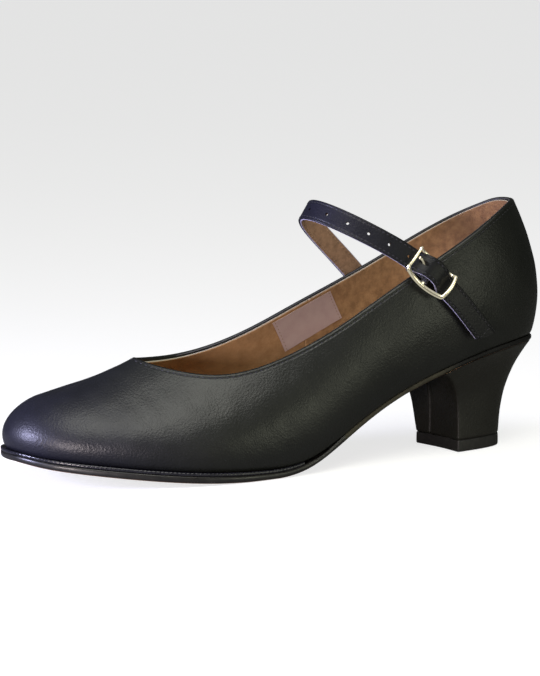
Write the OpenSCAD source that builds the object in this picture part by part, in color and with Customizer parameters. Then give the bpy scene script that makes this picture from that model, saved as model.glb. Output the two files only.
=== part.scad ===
// Character tap shoe, left foot, closed toe, with an instep strap and a
// covered block heel.  Millimetres.  +X to the toe, +Y to the outer (lateral)
// side, +Z up.  The shoe stands on z = 0, with the origin near the middle of
// the top lift.

/* [Shoe size] */
// Length of the shoe body at the feather line, back of heel to toe
body_len = 236; // [230:1:242]
// Width across the ball, measured at the feather line
ball_w = 70; // [68:0.5:72]

/* [Uppers] */
// Thickness of the upper leather
upper_t = 1.2; // [1.0:0.05:1.2]
// Thickness of the lining leather
lining_t = 0.8; // [0.6:0.05:0.8]
// Thickness of the toe puff and the heel counter
stiffener_t = 0.65; // [0.5:0.05:0.65]
// Width of the lasting margin turned under the insole board
margin_w = 9.5; // [8:0.5:10]

/* [Bottom] */
// Thickness of the insole board
board_t = 1.8; // [1.5:0.1:1.8]
// Thickness of the cushion foam on the insole board
foam_t = 0.9; // [0.6:0.1:0.9]
// Thickness of the sock lining on the foam
sock_t = 0.6; // [0.5:0.1:0.7]
// Thickness of the outsole under the heel seat and the waist
seat_sole_t = 2.2; // [1.8:0.1:2.4]
// Thickness of the welt strip round the forepart
welt_t = 1.2; // [1.0:0.1:1.3]
// Length of the steel shank
shank_len = 100; // [92:1:102]
// Width of the steel shank
shank_w = 13; // [10:0.5:13]

/* [Heel] */
// Thickness of the top lift
lift_h = 5; // [4:0.5:6]
// Length of the top lift from breast to back
lift_len = 28.5; // [27:0.5:30]
// Width of the top lift at the breast
lift_w = 28.5; // [27:0.5:31]
// Thickness of the leather that covers the heel block
cover_t = 0.8; // [0.6:0.1:1.0]

/* [Strap and buckle] */
// Width of the instep strap
strap_w = 9; // [8:0.25:9]
// Spacing of the buckle holes in the strap
hole_pitch = 9.5; // [9:0.25:10]
// Number of free buckle holes between the buckle and the top of the loop
free_holes = 6; // [4:1:6]
// Diameter of each buckle hole
hole_d = 1.8; // [1.6:0.1:2.0]
// Diameter of the buckle wire
wire_d = 1.4; // [1.2:0.1:1.4]
// Length of the buckle, between the centres of its two end bars
buckle_l = 19.6; // [19.1:0.25:20.1]

/* [Hidden] */

len_scale = body_len / 236;          // also scales heights
width_scale = ball_w / 70;
ball_z = 4;                          // heights grow from this level
heel_x = -31 * len_scale;            // back of the feather line
glue = 0.06;                         // gap between bonded layers

// ---- Tables of the last.  Each list holds values at equal steps of "along",
// ---- which runs from the back of the heel (0) to the tip of the toe (1).
// Half widths of the feather line
half_w_outer = [-2, 9.5, 19.5, 23.5, 24, 31, 36.5, 31.5, 22.5, 12, -4];
half_w_inner = [2, 13, 22.5, 24, 18, 20, 33, 36.5, 30.5, 17.5, 4];
// Height of the feather line
feather_heights = [46.5, 46.8, 47, 46, 43.5, 38, 30.5, 18.5, 3.8, 3.8, 4.8, 6.8,
                   9, 10.8, 12.3, 13.9, 14.1];
// Ridge, where both sides meet: x ahead of the feather point, y, height
ridge_x = [38, 38, 20, 7.5, 4, 8, 13, 4, -9, -20, -20];
ridge_y = [0, 0, 0, 0, 0, 1, 1, 0, -2, -4, -5];
ridge_heights = [150, 150, 151, 141, 115, 79, 54.5, 44, 39, 36, 36];
// Powers that shape a section in plan and in height
plan_powers = [2, 2, 1.35, 1.1, 1.05, 1.2, 1.5, 1.55, 1.3, 1, 1];
rise_powers = [1.06, 1.06, 1, 1, 1, 1.05, 1.05, 1, 0.9, 0.78, 0.78];
// Bulge of a section past the feather line
bulge_outer = [5, 5, 3.8, 4.4, 4.8, 4.3, 2.7, 2.3, 2.5, 1.7, 1.7];
bulge_inner = [5, 5, 5.1, 5, 6, 5, 3, 2.5, 2.3, 1.7, 1.7];
// Height of the topline; these two lists end at the throat
topline_outer = [105, 105, 104.5, 101.5, 93.5, 83.5, 72, 57.5, 45.5, 37.5, 40];
topline_inner = [105, 105, 102, 97.5, 90, 80.5, 71.5, 62.5, 50, 42, 42];
throat = 0.66;                       // where the topline closes on the vamp
// Overhang of the sole past the feather line, and its extra thickness
sole_overhangs = [0.4, 0.3, 0.2, -0.4, -1, 0, 2.2, 2.7, 2.5, 2.1, 1.8];
sole_extra = [0, 0, 0, 0, 0.1, 1.6, 2.1, 2.1, 2, 1.8, 1.6];

// ---- General functions ----
// cubic B-spline through a list of numbers or points, u from 0 to 1
function spline(list, u) =
    let(n = len(list), s = min(max(u, 0), 1) * (n - 1),
        i = min(floor(s), n - 2), f = s - i,
        before = i > 0 ? list[i - 1] : 2 * list[0] - list[1],
        after = i < n - 2 ? list[i + 2] : 2 * list[n - 1] - list[n - 2])
    (pow(1 - f, 3) * before + (3 * f * f * f - 6 * f * f + 4) * list[i]
     + (-3 * f * f * f + 3 * f * f + 3 * f + 1) * list[i + 1] + f * f * f * after) / 6;
function lerp(a, b, share) = a + (b - a) * share;
function unit(v) = v / norm(v);
function clamp01(x) = min(max(x, 0), 1);
function smooth(x) = let(s = clamp01(x)) s * s * (3 - 2 * s);
function reverse(list) = [for (i = [len(list) - 1:-1:0]) list[i]];
function tail(list) = [for (i = [1:len(list) - 1]) list[i]];

// ---- Shape of the last.  A spot is [along, side]; side is 1 on the outer
// ---- side and -1 on the inner side.
function by_side(outer, inner, spot) = spline(spot[1] > 0 ? outer : inner, spot[0]);
function scale_z(z) = ball_z + (z - ball_z) * len_scale;
function x_at(along) = heel_x + body_len * (1 - cos(180 * along)) / 2;
function along_at(x) = acos(min(max(1 - 2 * (x - heel_x) / body_len, -1), 1)) / 180;
function feather_z(along) = scale_z(spline(feather_heights, along));
function feather_z_at(x) = feather_z(along_at(x));
function ridge_z(along) = scale_z(spline(ridge_heights, along));
function wall_height(along) = ridge_z(along) - feather_z(along);
function feather(spot) = [x_at(spot[0]),
    width_scale * spot[1] * by_side(half_w_outer, half_w_inner, spot), feather_z(spot[0])];
// outward normal of the feather line, in plan
function plan_normal(spot) = let(step = 0.001,
    v = feather([min(spot[0] + step, 1), spot[1]]) - feather([max(spot[0] - step, 0), spot[1]]))
    unit([-v.y, v.x]) * spot[1];
// plan point at an overhang past the feather line, and the same point at a
// height dz above the feather line
function beside(spot, overhang) = let(p = feather(spot), n = plan_normal(spot))
    [p.x + n.x * overhang, p.y + n.y * overhang];
function under(spot, overhang, dz) = let(p = beside(spot, overhang))
    [p.x, p.y, feather_z_at(p.x) + dz];
function bulge(spot) = by_side(bulge_outer, bulge_inner, spot);
// hump of height 1, a third of the way from 0 to 1
function hump(v) = 6.75 * v * pow(1 - v, 2);
// a section: feather point, ridge point, normal, bulge, plan and rise powers
function section(spot) = let(along = spot[0]) [feather(spot),
    [x_at(along) + len_scale * spline(ridge_x, along),
     width_scale * spline(ridge_y, along), ridge_z(along)],
    plan_normal(spot), bulge(spot), spline(plan_powers, along), spline(rise_powers, along)];
// a point on a section; up runs from the feather (0) to the ridge (1)
function on_section(sec, up) = let(low_share = pow(cos(90 * up), sec[4]),
    v = pow(sin(90 * up), sec[5]), plan = lerp(sec[1], sec[0], low_share), b = sec[3] * hump(v))
    [plan.x + sec[2].x * b, plan.y + sec[2].y * b, lerp(sec[0].z, sec[1].z, v)];
// the same point moved inwards along the surface normal
function skin(spot, up, depth) =
    let(da = spot[0] < 0.5 ? 0.002 : -0.002, du = up < 0.5 ? 0.002 : -0.002,
        sec = section(spot), p = on_section(sec, up),
        slope_along = (on_section(section([spot[0] + da, spot[1]]), up) - p) / da,
        slope_up = (on_section(sec, up + du) - p) / du)
    p + unit(cross(slope_along, slope_up)) * spot[1] * depth;
// up of a height above the feather, and of the topline
function up_of(along, height) =
    asin(pow(clamp01(height / wall_height(along)), 1 / spline(rise_powers, along))) / 90;
function topline_up(spot) = let(along = spot[0], u = min(along / throat, 1),
    z = scale_z(by_side(topline_outer, topline_inner, [u, spot[1]])))
    u >= 1 ? 1 : 1 - (1 - up_of(along, z - feather_z(along))) * pow(1 - pow(u, 12), 0.34);

// ---- Stations along the last, close together at the heel, throat and toe ----
throat_i = 28;                       // index of the station at the throat
toe_steps = 13;                      // steps from the throat to the toe
full = concat([for (i = [0:throat_i]) throat * sin(90 * i / throat_i)],
    [for (i = [1:toe_steps]) throat + (1 - throat) * i / toe_steps]);
// stations from a to b, leaving out those that almost touch an end
function between(a, b) =
    concat([a], [for (along = full) if (along > a + 0.006 && along < b - 0.006) along], [b]);
function on_side(list, side) = [for (along = list) [along, side]];
// spots all round, round the toe, and round the heel
ring_spots = concat(on_side(full, 1), [for (i = [len(full) - 2:-1:1]) [full[i], -1]]);
function toe_spots(list) = concat(on_side(list, 1), on_side(tail(reverse(list)), -1));
function heel_spots(list) = concat(on_side(reverse(tail(list)), -1), on_side(list, 1));

// ---- Solids from grids of points ----
// a quad as two triangles, without any that have collapsed
function triangles(q) = [for (t = [[q[0], q[1], q[2]], [q[0], q[2], q[3]]])
    if (t[0] != t[1] && t[1] != t[2] && t[0] != t[2]) t];

// A sheet between an outer and an inner grid of points, each a list of columns
// from the lower edge to the upper edge.  owners[c] is the column that owns
// the last point of column c: both sides of the vamp share it on the ridge.
module sheet(outer, inner, closed = false, owners) {
    count = len(outer);
    top = len(outer[0]) - 1;
    owner = is_undef(owners) ? [for (c = [0:count - 1]) c] : owners;
    pairs = [for (c = [0:count - (closed ? 1 : 2)]) [c, (c + 1) % count]];
    end = count - 1;
    function out_id(c, j) = (j == top ? owner[c] : c) * (top + 1) + j;
    function in_id(c, j) = count * (top + 1) + out_id(c, j);
    function shared(c) = owner[c] != c || len([for (o = owner) if (o == c) 1]) > 1;
    quads = concat(
        [for (p = pairs, j = [0:top - 1])
            [out_id(p[0], j), out_id(p[1], j), out_id(p[1], j + 1), out_id(p[0], j + 1)]],
        [for (p = pairs, j = [0:top - 1])
            [in_id(p[0], j), in_id(p[0], j + 1), in_id(p[1], j + 1), in_id(p[1], j)]],
        [for (p = pairs) [out_id(p[1], 0), out_id(p[0], 0), in_id(p[0], 0), in_id(p[1], 0)]],
        [for (p = pairs) if (!(shared(p[0]) && shared(p[1])))
            [out_id(p[0], top), out_id(p[1], top), in_id(p[1], top), in_id(p[0], top)]],
        closed ? [] : [for (j = [0:top - 1])
            [out_id(0, j), out_id(0, j + 1), in_id(0, j + 1), in_id(0, j)]],
        closed ? [] : [for (j = [0:top - 1])
            [out_id(end, j + 1), out_id(end, j), in_id(end, j), in_id(end, j + 1)]]);
    polyhedron(points = concat([for (c = outer) each c], [for (c = inner) each c]),
        faces = [for (q = quads) each triangles(q)]);
}
// Owners of the columns at these spots.  The tip of the toe is its own partner
// on the ridge, so it is listed twice.
function ridge_owners(spots, closed) = let(count = len(spots))
    concat([for (c = [0:count - 1]) spots[c][1] < 0 && spots[c][0] >= throat - 0.0001
            ? count - (closed ? 0 : 1) - c : c],
        [for (c = [0:count - 1]) if (spots[c][0] > 0.9999) c]);

// a flat layer under the foot: overhang(spot) is past the feather line, and
// its faces follow the heights low(x) and high(x)
module layer(overhang, low, high) {
    count = len(ring_spots);
    plan = [for (spot = ring_spots) beside(spot, overhang(spot))];
    function across_id(i) = (count - i) % count;
    quads = concat(
        [for (i = [0:len(full) - 2]) [across_id(i), across_id(i + 1), i + 1, i]],
        [for (i = [0:len(full) - 2])
            [count + i + 1, count + across_id(i + 1), count + across_id(i), count + i]],
        [for (c = [0:count - 1]) let(d = (c + 1) % count) [d, count + d, count + c, c]]);
    polyhedron(points = concat([for (p = plan) [p.x, p.y, high(p.x)]],
            [for (p = plan) [p.x, p.y, low(p.x)]]),
        faces = [for (q = quads) each triangles(q)]);
}

// ---- Heights above the feather line, and depths below the upper's face ----
board_z = upper_t + 0.2;
board_top = board_z + board_t;
foam_z = board_top + glue;
sock_z = foam_z + foam_t + glue;
lining_z = board_top + 0.5;
puff_depth = upper_t + glue;
lining_depth = puff_depth + stiffener_t + glue;
inner_depth = lining_depth + lining_t;

// ---- Uppers ----
// The walls share one set of rows, from just above the insole board (0) to the
// topline (wall_rows), so that bonded layers stay parallel
wall_rows = 9;
lining_i = 15;                       // station where the two linings meet
puff_i = 35;                         // station at the back of the toe puff
counter_i = 9;                       // station at the front of the heel counter
counter_rows = 6;
tape_i = 20;                         // station at the front of the topline tape
tape_t = 0.35;
function wall_column(spot, depth, first = 0, last = wall_rows) = [for (j = [first:last])
    skin(spot, lerp(up_of(spot[0], lining_z), topline_up(spot), j / wall_rows), depth)];
module wall(spots, depth, thickness, first = 0, last = wall_rows)
    sheet([for (spot = spots) wall_column(spot, depth, first, last)],
        [for (spot = spots) wall_column(spot, depth + thickness, first, last)],
        owners = ridge_owners(spots, false));

module upper() {
    bend = 0.35;                     // size of the bevel round the feather line
    outer = [for (spot = ring_spots) concat(
        [under(spot, -margin_w, 0), under(spot, -bend, 0), skin(spot, up_of(spot[0], bend), 0)],
        wall_column(spot, 0))];
    inner = [for (spot = ring_spots) concat(
        [under(spot, -margin_w, upper_t), under(spot, -upper_t - 0.05, upper_t),
         skin(spot, up_of(spot[0], upper_t + 0.25), upper_t)],
        wall_column(spot, upper_t))];
    color("#1b1b1d") sheet(outer, inner, true, ridge_owners(ring_spots, true));
}
module vamp_lining() {
    color("#8a6a4c") wall(toe_spots(between(full[lining_i] + 0.003, 1)), lining_depth, lining_t);
}
module quarter_lining() {
    color("#7a563c") wall(heel_spots(between(0, full[lining_i])), lining_depth, lining_t);
}
module toe_puff() {
    color("#d9cfb8") wall(toe_spots(between(full[puff_i], 1)), puff_depth, stiffener_t);
}
module heel_counter() {
    color("#c8b48c") wall(heel_spots(between(0, full[counter_i])), puff_depth, stiffener_t,
        last = counter_rows);
}
module topline_tape() {
    color("#2a2a2a") wall(heel_spots(between(0, full[tape_i])), puff_depth, tape_t,
        first = wall_rows - 1);
}
// a small blank label on the inner face of the medial lining
module size_label() {
    lower_ends = [0.466, 0.39];      // along, at the ends of the lower edge
    upper_ends = [0.485, 0.41];
    span = [0.535, 0.955];           // from lower to upper edge, as shares of the topline
    thickness = 0.2;
    columns = 5;
    rows = 3;
    function grid(depth) = [for (c = [0:columns]) [for (j = [0:rows])
        let(a = c / columns, b = j / rows,
            spot = [lerp(lerp(lower_ends[0], lower_ends[1], a),
                lerp(upper_ends[0], upper_ends[1], a), b), -1])
        skin(spot, topline_up(spot) * lerp(span[0], span[1], b), depth)]];
    color("#c9a89a") sheet(grid(inner_depth + glue), grid(inner_depth + glue + thickness));
}

// ---- Fasteners: plan places and radii ----
screw_at = [-3 * len_scale, 0];
nail_at = [[-13.5 * len_scale, 4.2], [-13.5 * len_scale, -6.2],
           [3 * len_scale, 9.3], [3 * len_scale, -9.5]];
rivet_at = [[10 * len_scale, 0], [85 * len_scale, 0]];
screw_r = 2;
screw_head_r = 2.9;
nail_r = 1;
nail_head_r = 2;
rivet_r = 1.5;
rivet_head_r = 2.2;
lift_pin_r = 1.5;
hole_gap = 0.05;                     // radial gap round a shaft
head_gap = 0.2;                      // radial gap round a head
above_board = 60;                    // level that clears the insole board

module pin(at, radius, low, high) translate([at[0], at[1], low])
    cylinder(r = radius, h = high - low, $fn = 24);
// a shaft with a head; the tops and head_low are measured from the board's top
module headed_pin(at, radius, head_radius, low, top, head_low, head_top) {
    z = feather_z_at(at.x) + board_top;
    pin(at, radius, low, z + top);
    pin(at, head_radius, z + head_low, z + head_top);
}
// low is measured from the feather line
module nail_holes(low, radius = nail_r + hole_gap) for (at = nail_at)
    pin(at, radius, feather_z_at(at.x) + low, feather_z_at(at.x) + 9);
module screw_hole(low = 30) pin(screw_at, screw_r + hole_gap, low, above_board);
module rivet_holes() for (at = rivet_at) pin(at, rivet_r + hole_gap, -2, above_board);
// recess for a head in the top of the insole board
module head_recess(at, head_radius)
    pin(at, head_radius + head_gap, feather_z_at(at.x) + board_top - 1.25, above_board);

// ---- Bottom ----
module insole_board() {
    color("#b89a6a") difference() {
        layer(function(spot) -upper_t - 0.25, function(x) feather_z_at(x) + board_z,
            function(x) feather_z_at(x) + board_top);
        nail_holes(-5);
        nail_holes(board_top - 1.2, nail_head_r + head_gap);
        screw_hole();
        head_recess(screw_at, screw_head_r);
        rivet_holes();
        for (at = rivet_at) head_recess(at, rivet_head_r);
    }
}
module shank() {
    back_x = -9 * len_scale;
    steps = 44;
    xs = [for (i = [0:steps]) lerp(back_x, back_x + shank_len, i / steps)];
    top = [for (x = xs) [x, feather_z_at(x) + board_z - 0.4]];
    bottom = [for (x = reverse(xs)) [x, feather_z_at(x) + 0.15]];
    color("#9aa0a6") difference() {
        translate([0, shank_w / 2, 0]) rotate([90, 0, 0])
            linear_extrude(shank_w) polygon(concat(top, bottom));
        screw_hole();
        rivet_holes();
    }
}
module shank_rivets() {
    color("#b0b4b8") for (at = rivet_at)
        headed_pin(at, rivet_r, rivet_head_r, low = feather_z_at(at.x) + 0.2,
            top = -0.9, head_low = -1.2, head_top = -0.8);
}
// 0 at the waist, 1 under the forepart
function forepart(x) = smooth((x - 68 * len_scale) / (13 * len_scale));
module bottom_filler() {
    back_x = 94 * len_scale;
    color("#a98a62") intersection() {
        layer(function(spot) -margin_w - 1,
            function(x) feather_z_at(x) - welt_t * forepart(x) + glue,
            function(x) feather_z_at(x) + board_z - 0.3);
        translate([back_x, -60, -10]) cube([140, 120, 60]);
    }
}
// overhang, past the feather line, of the inside of the lining near the sock
function inside(spot) = bulge(spot) * hump(lining_z / wall_height(spot[0])) * 0.6
    - inner_depth - 1.2 * smooth((spot[0] - 0.8) / 0.2);
module cushion_foam() {
    color("#e6dfcf") layer(function(spot) inside(spot) - 0.3,
        function(x) feather_z_at(x) + foam_z, function(x) feather_z_at(x) + foam_z + foam_t);
}
module sock_lining() {
    color("#8a6a4c") layer(function(spot) inside(spot) - 0.15,
        function(x) feather_z_at(x) + sock_z, function(x) feather_z_at(x) + sock_z + sock_t);
}
welt_gap = 0.16;                     // cement gap above the welt
sole_gap = 0.34;                     // drop below the feather line, besides the
                                     // welt, of the sole under the forepart
welt_i = 16;                         // station at the back ends of the welt
fore_sole_t = 4.3;                   // greatest drop of the sole's lower face
function sole_edge(spot) = spline(sole_overhangs, spot[0]);
module welt() {
    spots = toe_spots(between(full[welt_i], 1));
    function rim(spot, overhang) = [for (dz = [-welt_t, -welt_gap]) under(spot, overhang, dz)];
    color("#202022") sheet([for (spot = spots) rim(spot, sole_edge(spot))],
        [for (spot = spots) rim(spot, -margin_w + 1)]);
}
function sole_top(x) = feather_z_at(x) - welt_gap - (welt_t + sole_gap - welt_gap) * forepart(x);
function sole_bottom(x) = max(0, feather_z_at(x) - seat_sole_t
    - spline(sole_extra, along_at(x)) * (fore_sole_t - seat_sole_t) / max(sole_extra));
module outsole() {
    color("#1e1d1c") difference() {
        layer(function(spot) sole_edge(spot), function(x) sole_bottom(x),
            function(x) sole_top(x));
        nail_holes(-9);
        screw_hole();
    }
}

// ---- Heel ----
breast_along = along_at(21.5 * len_scale); // breast at the top of the heel
lift_turn = 11.7;                    // turn of the base, breast to the outer side
lift_shift = 1.5 * width_scale;      // shift of the back of the base in y
heel_base_z = lift_h + glue;
round_steps = 40;                    // steps round the back
breast_steps = 6;                    // steps across the breast
levels = 9;
ring_count = round_steps + breast_steps;
// a point of the top lift: x ahead of the middle of the breast, y to the side
function lift_point(x, y) = [12.6 * len_scale + x * cos(lift_turn) - y * sin(lift_turn),
    -0.95 * width_scale + x * sin(lift_turn) + y * cos(lift_turn)];
lift_pin_at = [for (y = [-6.5, 6.5]) lift_point(-12.5, y)];
// Outlines of the heel, drawn in by inset.  turn runs from the outer breast
// corner (0) by the back (0.5) to the inner breast corner (1).
function seat_point(turn, inset) =
    beside([breast_along * abs(1 - 2 * turn), turn < 0.5 ? 1 : -1], 0.1 - inset);
function base_point(turn, inset) = let(c = cos(180 * turn), s = sin(180 * turn))
    lift_point(-inset - (lift_len - 2 * inset) * pow(abs(s), 0.82),
        (lift_w / 2 - inset) * sign(c) * pow(abs(c), 0.72) + lift_shift * s * s);
// spread from the base (0) to the seat (1) at a level: latest at the outer
// breast corner, most even at the inner one
function flare(level, turn) = let(c = cos(180 * turn),
    outer = pow(max(c, 0), 3), inner = pow(max(-c, 0), 3),
    even = 0.18 - 0.13 * outer + 0.32 * inner)
    even * level + (1 - even) * pow(level, 2.6 + 2.4 * outer + 0.4 * inner);
function heel_point(turn, level, inset) =
    let(seat = seat_point(turn, inset), base = base_point(turn, inset),
        spread = flare(level, turn), corner_inset = turn < 0.001 || turn > 0.999 ? inset : 0)
    [lerp(base.x, seat.x - corner_inset, spread), lerp(base.y, seat.y, spread),
     lerp(heel_base_z, feather_z_at(seat.x) - seat_sole_t - 3 * glue, level)];
// round the back, then across the breast, which is hollowed
function heel_ring(level, inset) = concat(
    [for (k = [0:round_steps]) heel_point(k / round_steps, level, inset)],
    [for (k = [1:breast_steps - 1]) let(share = k / breast_steps)
        lerp(heel_point(1, level, inset), heel_point(0, level, inset), share)
        - [0.9 * sin(180 * share) * (1 - 0.5 * level), 0, 0]]);
function heel_rings(inset) = [for (l = [0:levels]) heel_ring(l / levels, inset)];
module heel_solid(inset) {
    n = ring_count;
    top = levels * n;                // index of the first point of the top ring
    caps = [for (k = [0:round_steps / 2 - 1])
        [k, k + 1, round_steps - k - 1, round_steps - k]];
    fan = [for (k = [1:breast_steps - 1]) [0, n - k, n - k - 1]];
    polyhedron(points = [for (ring = heel_rings(inset)) each ring], faces = concat(
        [for (l = [0:levels - 1], k = [0:n - 1]) let(d = (k + 1) % n)
            each triangles([l * n + k, l * n + d, (l + 1) * n + d, (l + 1) * n + k])],
        [for (q = caps) each triangles(reverse(q))],
        [for (q = caps) each triangles([for (i = q) i + top])],
        fan,
        [for (f = fan) [for (i = reverse(f)) i + top]]));
}
module lift_pin_holes(low, high)
    for (at = lift_pin_at) pin(at, lift_pin_r + hole_gap, low, high);
module heel_block() {
    color("#c9b08a") difference() {
        heel_solid(cover_t + 0.4);
        nail_holes(-17);
        screw_hole(20);
        lift_pin_holes(lift_h - 1, lift_h + 10.2);
    }
}
module heel_cover() {
    function columns(inset) = let(rings = heel_rings(inset))
        [for (k = [ring_count - 1:-1:0]) [for (ring = rings) ring[k]]];
    color("#1b1b1d") sheet(columns(0), columns(cover_t), true);
}
module heel_nails() {
    color("#9aa0a6") for (at = nail_at)
        headed_pin(at, nail_r, nail_head_r, low = feather_z_at(at.x) - 16.5,
            top = -0.8, head_low = -1.1, head_top = -0.6);
}
module heel_screw() {
    color("#9aa0a6") headed_pin(screw_at, screw_r, screw_head_r, low = 21,
        top = -0.8, head_low = -1.15, head_top = -0.7);
}
module top_lift() {
    color("#222222") difference() {
        linear_extrude(lift_h) polygon([for (p = heel_ring(0, 0)) [p.x, p.y]]);
        lift_pin_holes(1.8, 10.8);
    }
}
module lift_pins() {
    color("#9aa0a6") for (at = lift_pin_at) pin(at, lift_pin_r, 2, 15);
}

// ---- Strap: a ribbon from its free end, through the buckle, over the instep,
// ---- to the inner side.  Each row is x, y, z, tilt in degrees, lean.
strap_rows = [
    [2.3, 27.05, 51.1, 50, -0.05], [17.5, 29.3, 66.2, 47, -0.08],
    [30, 28, 78.3, 43, -0.1], [42.5, 25.8, 88, 38, -0.1],
    [56.3, 21, 96, 33, -0.05], [69, 12.5, 103, 32, 0],
    [74.5, -2, 105.5, 32, 0], [68, -15, 99.3, 33, 0],
    [53.8, -22, 87, 36, 0], [41.8, -25.6, 75.9, 40, 0.03],
    [34, -27.9, 68, 42, 0.03]];
bar_u = 0.2125;                      // where the strap crosses the centre bar
arch_h = 3.35;                       // arch of the strap over the centre bar
arch_half = 9.2;                     // half length of the arch
arch_step = 0.92;                    // station spacing on the arch

// the line without its arch, by u from 0 to 1
function line_at(u) = let(p = spline(strap_rows, u))
    [p[0] * len_scale, p[1] * width_scale, scale_z(p[2])];
function across(u) = let(p = spline(strap_rows, u)) unit([-sin(p[3]), p[4], cos(p[3])]);
function line_heading(u) = unit(line_at(min(u + 0.004, 1)) - line_at(max(u - 0.004, 0)));
function line_outward(u) = unit(cross(across(u), line_heading(u)));
line_steps = 110;
line = [for (i = [0:line_steps]) line_at(i / line_steps)];
// distances along the line to its first i points
function distances(i) = i == 0 ? [0] :
    let(d = distances(i - 1)) concat(d, [d[i - 1] + norm(line[i] - line[i - 1])]);
line_dist = distances(line_steps);
strap_len = line_dist[line_steps];
bar_dist = lookup(bar_u * line_steps, [for (i = [0:line_steps]) [i, line_dist[i]]]);
function u_at(dist) = lookup(dist, [for (i = [0:line_steps]) [line_dist[i], i / line_steps]]);

// the strap with its arch, by distance from the free end
function arch(dist) = let(d = abs(dist - bar_dist) / arch_half)
    d >= 1 ? 0 : arch_h * pow(cos(90 * pow(d, 1.5)), 2);
function strap_at(dist) = let(u = u_at(dist)) line_at(u) + line_outward(u) * arch(dist);
function strap_heading(dist) =
    unit(strap_at(min(dist + 0.15, strap_len)) - strap_at(max(dist - 0.15, 0)));
function strap_outward(dist) = unit(cross(across(u_at(dist)), strap_heading(dist)));
strap_stations = concat([for (s = [0:2.5:bar_dist - arch_half - 0.3]) s],
    [for (s = [bar_dist - arch_half:arch_step:bar_dist + arch_half]) s],
    [for (s = [bar_dist + arch_half + 1:2.2:strap_len - 1]) s], [strap_len]);

// low and high are measured outwards from the line of the strap
module ribbon(width, low, high) {
    m = len(strap_stations);
    points = [for (s = strap_stations)
        let(p = strap_at(s), n = strap_outward(s), v = across(u_at(s)) * width / 2)
        each [p - v + n * low, p + v + n * low, p + v + n * high, p - v + n * high]];
    polyhedron(points = points, faces = concat(
        [for (i = [0:m - 2], k = [0:3]) each triangles([4 * i + k, 4 * i + 4 + k,
            4 * i + 4 + (k + 1) % 4, 4 * i + (k + 1) % 4])],
        [[0, 1, 2], [0, 2, 3]],
        [[4 * m - 2, 4 * m - 3, 4 * m - 4], [4 * m - 1, 4 * m - 2, 4 * m - 4]]));
}
// children in a frame given by its origin and three axes
module in_frame(o, x, y, z)
    multmatrix([for (i = [0:2]) [x[i], y[i], z[i], o[i]], [0, 0, 0, 1]]) children();
module on_strap(s)
    in_frame(strap_at(s), across(u_at(s)), strap_heading(s), strap_outward(s)) children();
// buckle frame: X across the strap, Y along it to the loop, Z out
module in_buckle()
    in_frame(line_at(bar_u), across(bar_u), cross(line_outward(bar_u), across(bar_u)),
        line_outward(bar_u)) children();
module holes() {
    for (i = [1:free_holes]) on_strap(bar_dist + 1.95 + i * hole_pitch)
        translate([0, 0, -3]) cylinder(d = hole_d, h = 6, $fn = 20);
    // the hole in use, drawn long by the prong
    slot_w = 2;
    slot_y = [0.6, 5.9];
    in_buckle() for (y = slot_y) translate([0, y, -1]) cylinder(d = slot_w, h = 9, $fn = 24);
    in_buckle() translate([-slot_w / 2, slot_y[0], -1])
        cube([slot_w, slot_y[1] - slot_y[0], 9]);
}
module strap() {
    color("#1f2026") difference() {
        ribbon(strap_w, 0.03, 0.95);
        holes();
    }
}
module strap_lining() {
    color("#7a563c") difference() {
        ribbon(strap_w - 0.4, -0.75, -0.03);
        holes();
    }
}

// ---- Buckle ----
wire_r = wire_d / 2;
end_z = 2.7;                         // height of the end bars
bar_z = 1.05;                        // height of the centre bar
half_w = strap_w / 2 + 0.15 + wire_r; // centre line to a side bar's centre
swell = 1.3;                         // outward swell of the side bars at the centre bar
bow = norm([end_z - bar_z, swell]);  // the side bars dip as well as swell
bow_r = (buckle_l * buckle_l / 4 + bow * bow) / (2 * bow);
bow_angle = asin(buckle_l / 2 / bow_r);

// a cylinder along X, centred on the strap, at the height of the centre bar
module bar(radius, length, facets) translate([-length / 2, 0, bar_z]) rotate([0, 90, 0])
    cylinder(r = radius, h = length, $fn = facets);
module buckle_frame() {
    color("#d9cfa8") in_buckle() {
        for (y = [-1, 1]) translate([-half_w, y * buckle_l / 2, end_z]) rotate([0, 90, 0])
            cylinder(r = wire_r, h = 2 * half_w, $fn = 48);
        for (y = [-1, 1], x = [-1, 1]) translate([x * half_w, y * buckle_l / 2, end_z])
            sphere(r = wire_r * 1.06, $fn = 48);
        bar(wire_r - 0.03, 2 * (half_w + swell), 48);
        for (x = [-1, 1]) translate([x * half_w, 0, end_z])
            rotate([0, -x * asin(swell / bow), 0]) translate([0, 0, bow_r - bow])
            rotate([0, -90, 0]) rotate([0, 0, 180 - bow_angle])
            rotate_extrude(angle = 2 * bow_angle, $fn = 192)
                translate([bow_r, 0]) circle(r = wire_r, $fn = 48);
    }
}
module buckle_prong() {
    root_z = bar_z + 0.85;
    reach = buckle_l / 2 + 0.3;
    climb = end_z + wire_r + 0.8 - root_z;
    length = norm([reach, climb]);
    color("#d9cfa8") in_buckle() difference() {
        union() {
            bar(1.35, 2.4, 32);
            translate([0, 0, root_z]) rotate([-90 + atan2(climb, reach), 0, 0]) {
                cylinder(r = 0.5, h = length, $fn = 20);
                translate([0, 0, length]) sphere(r = 0.62, $fn = 20);
            }
        }
        bar(wire_r + 0.05, 4, 32);
    }
}
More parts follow.
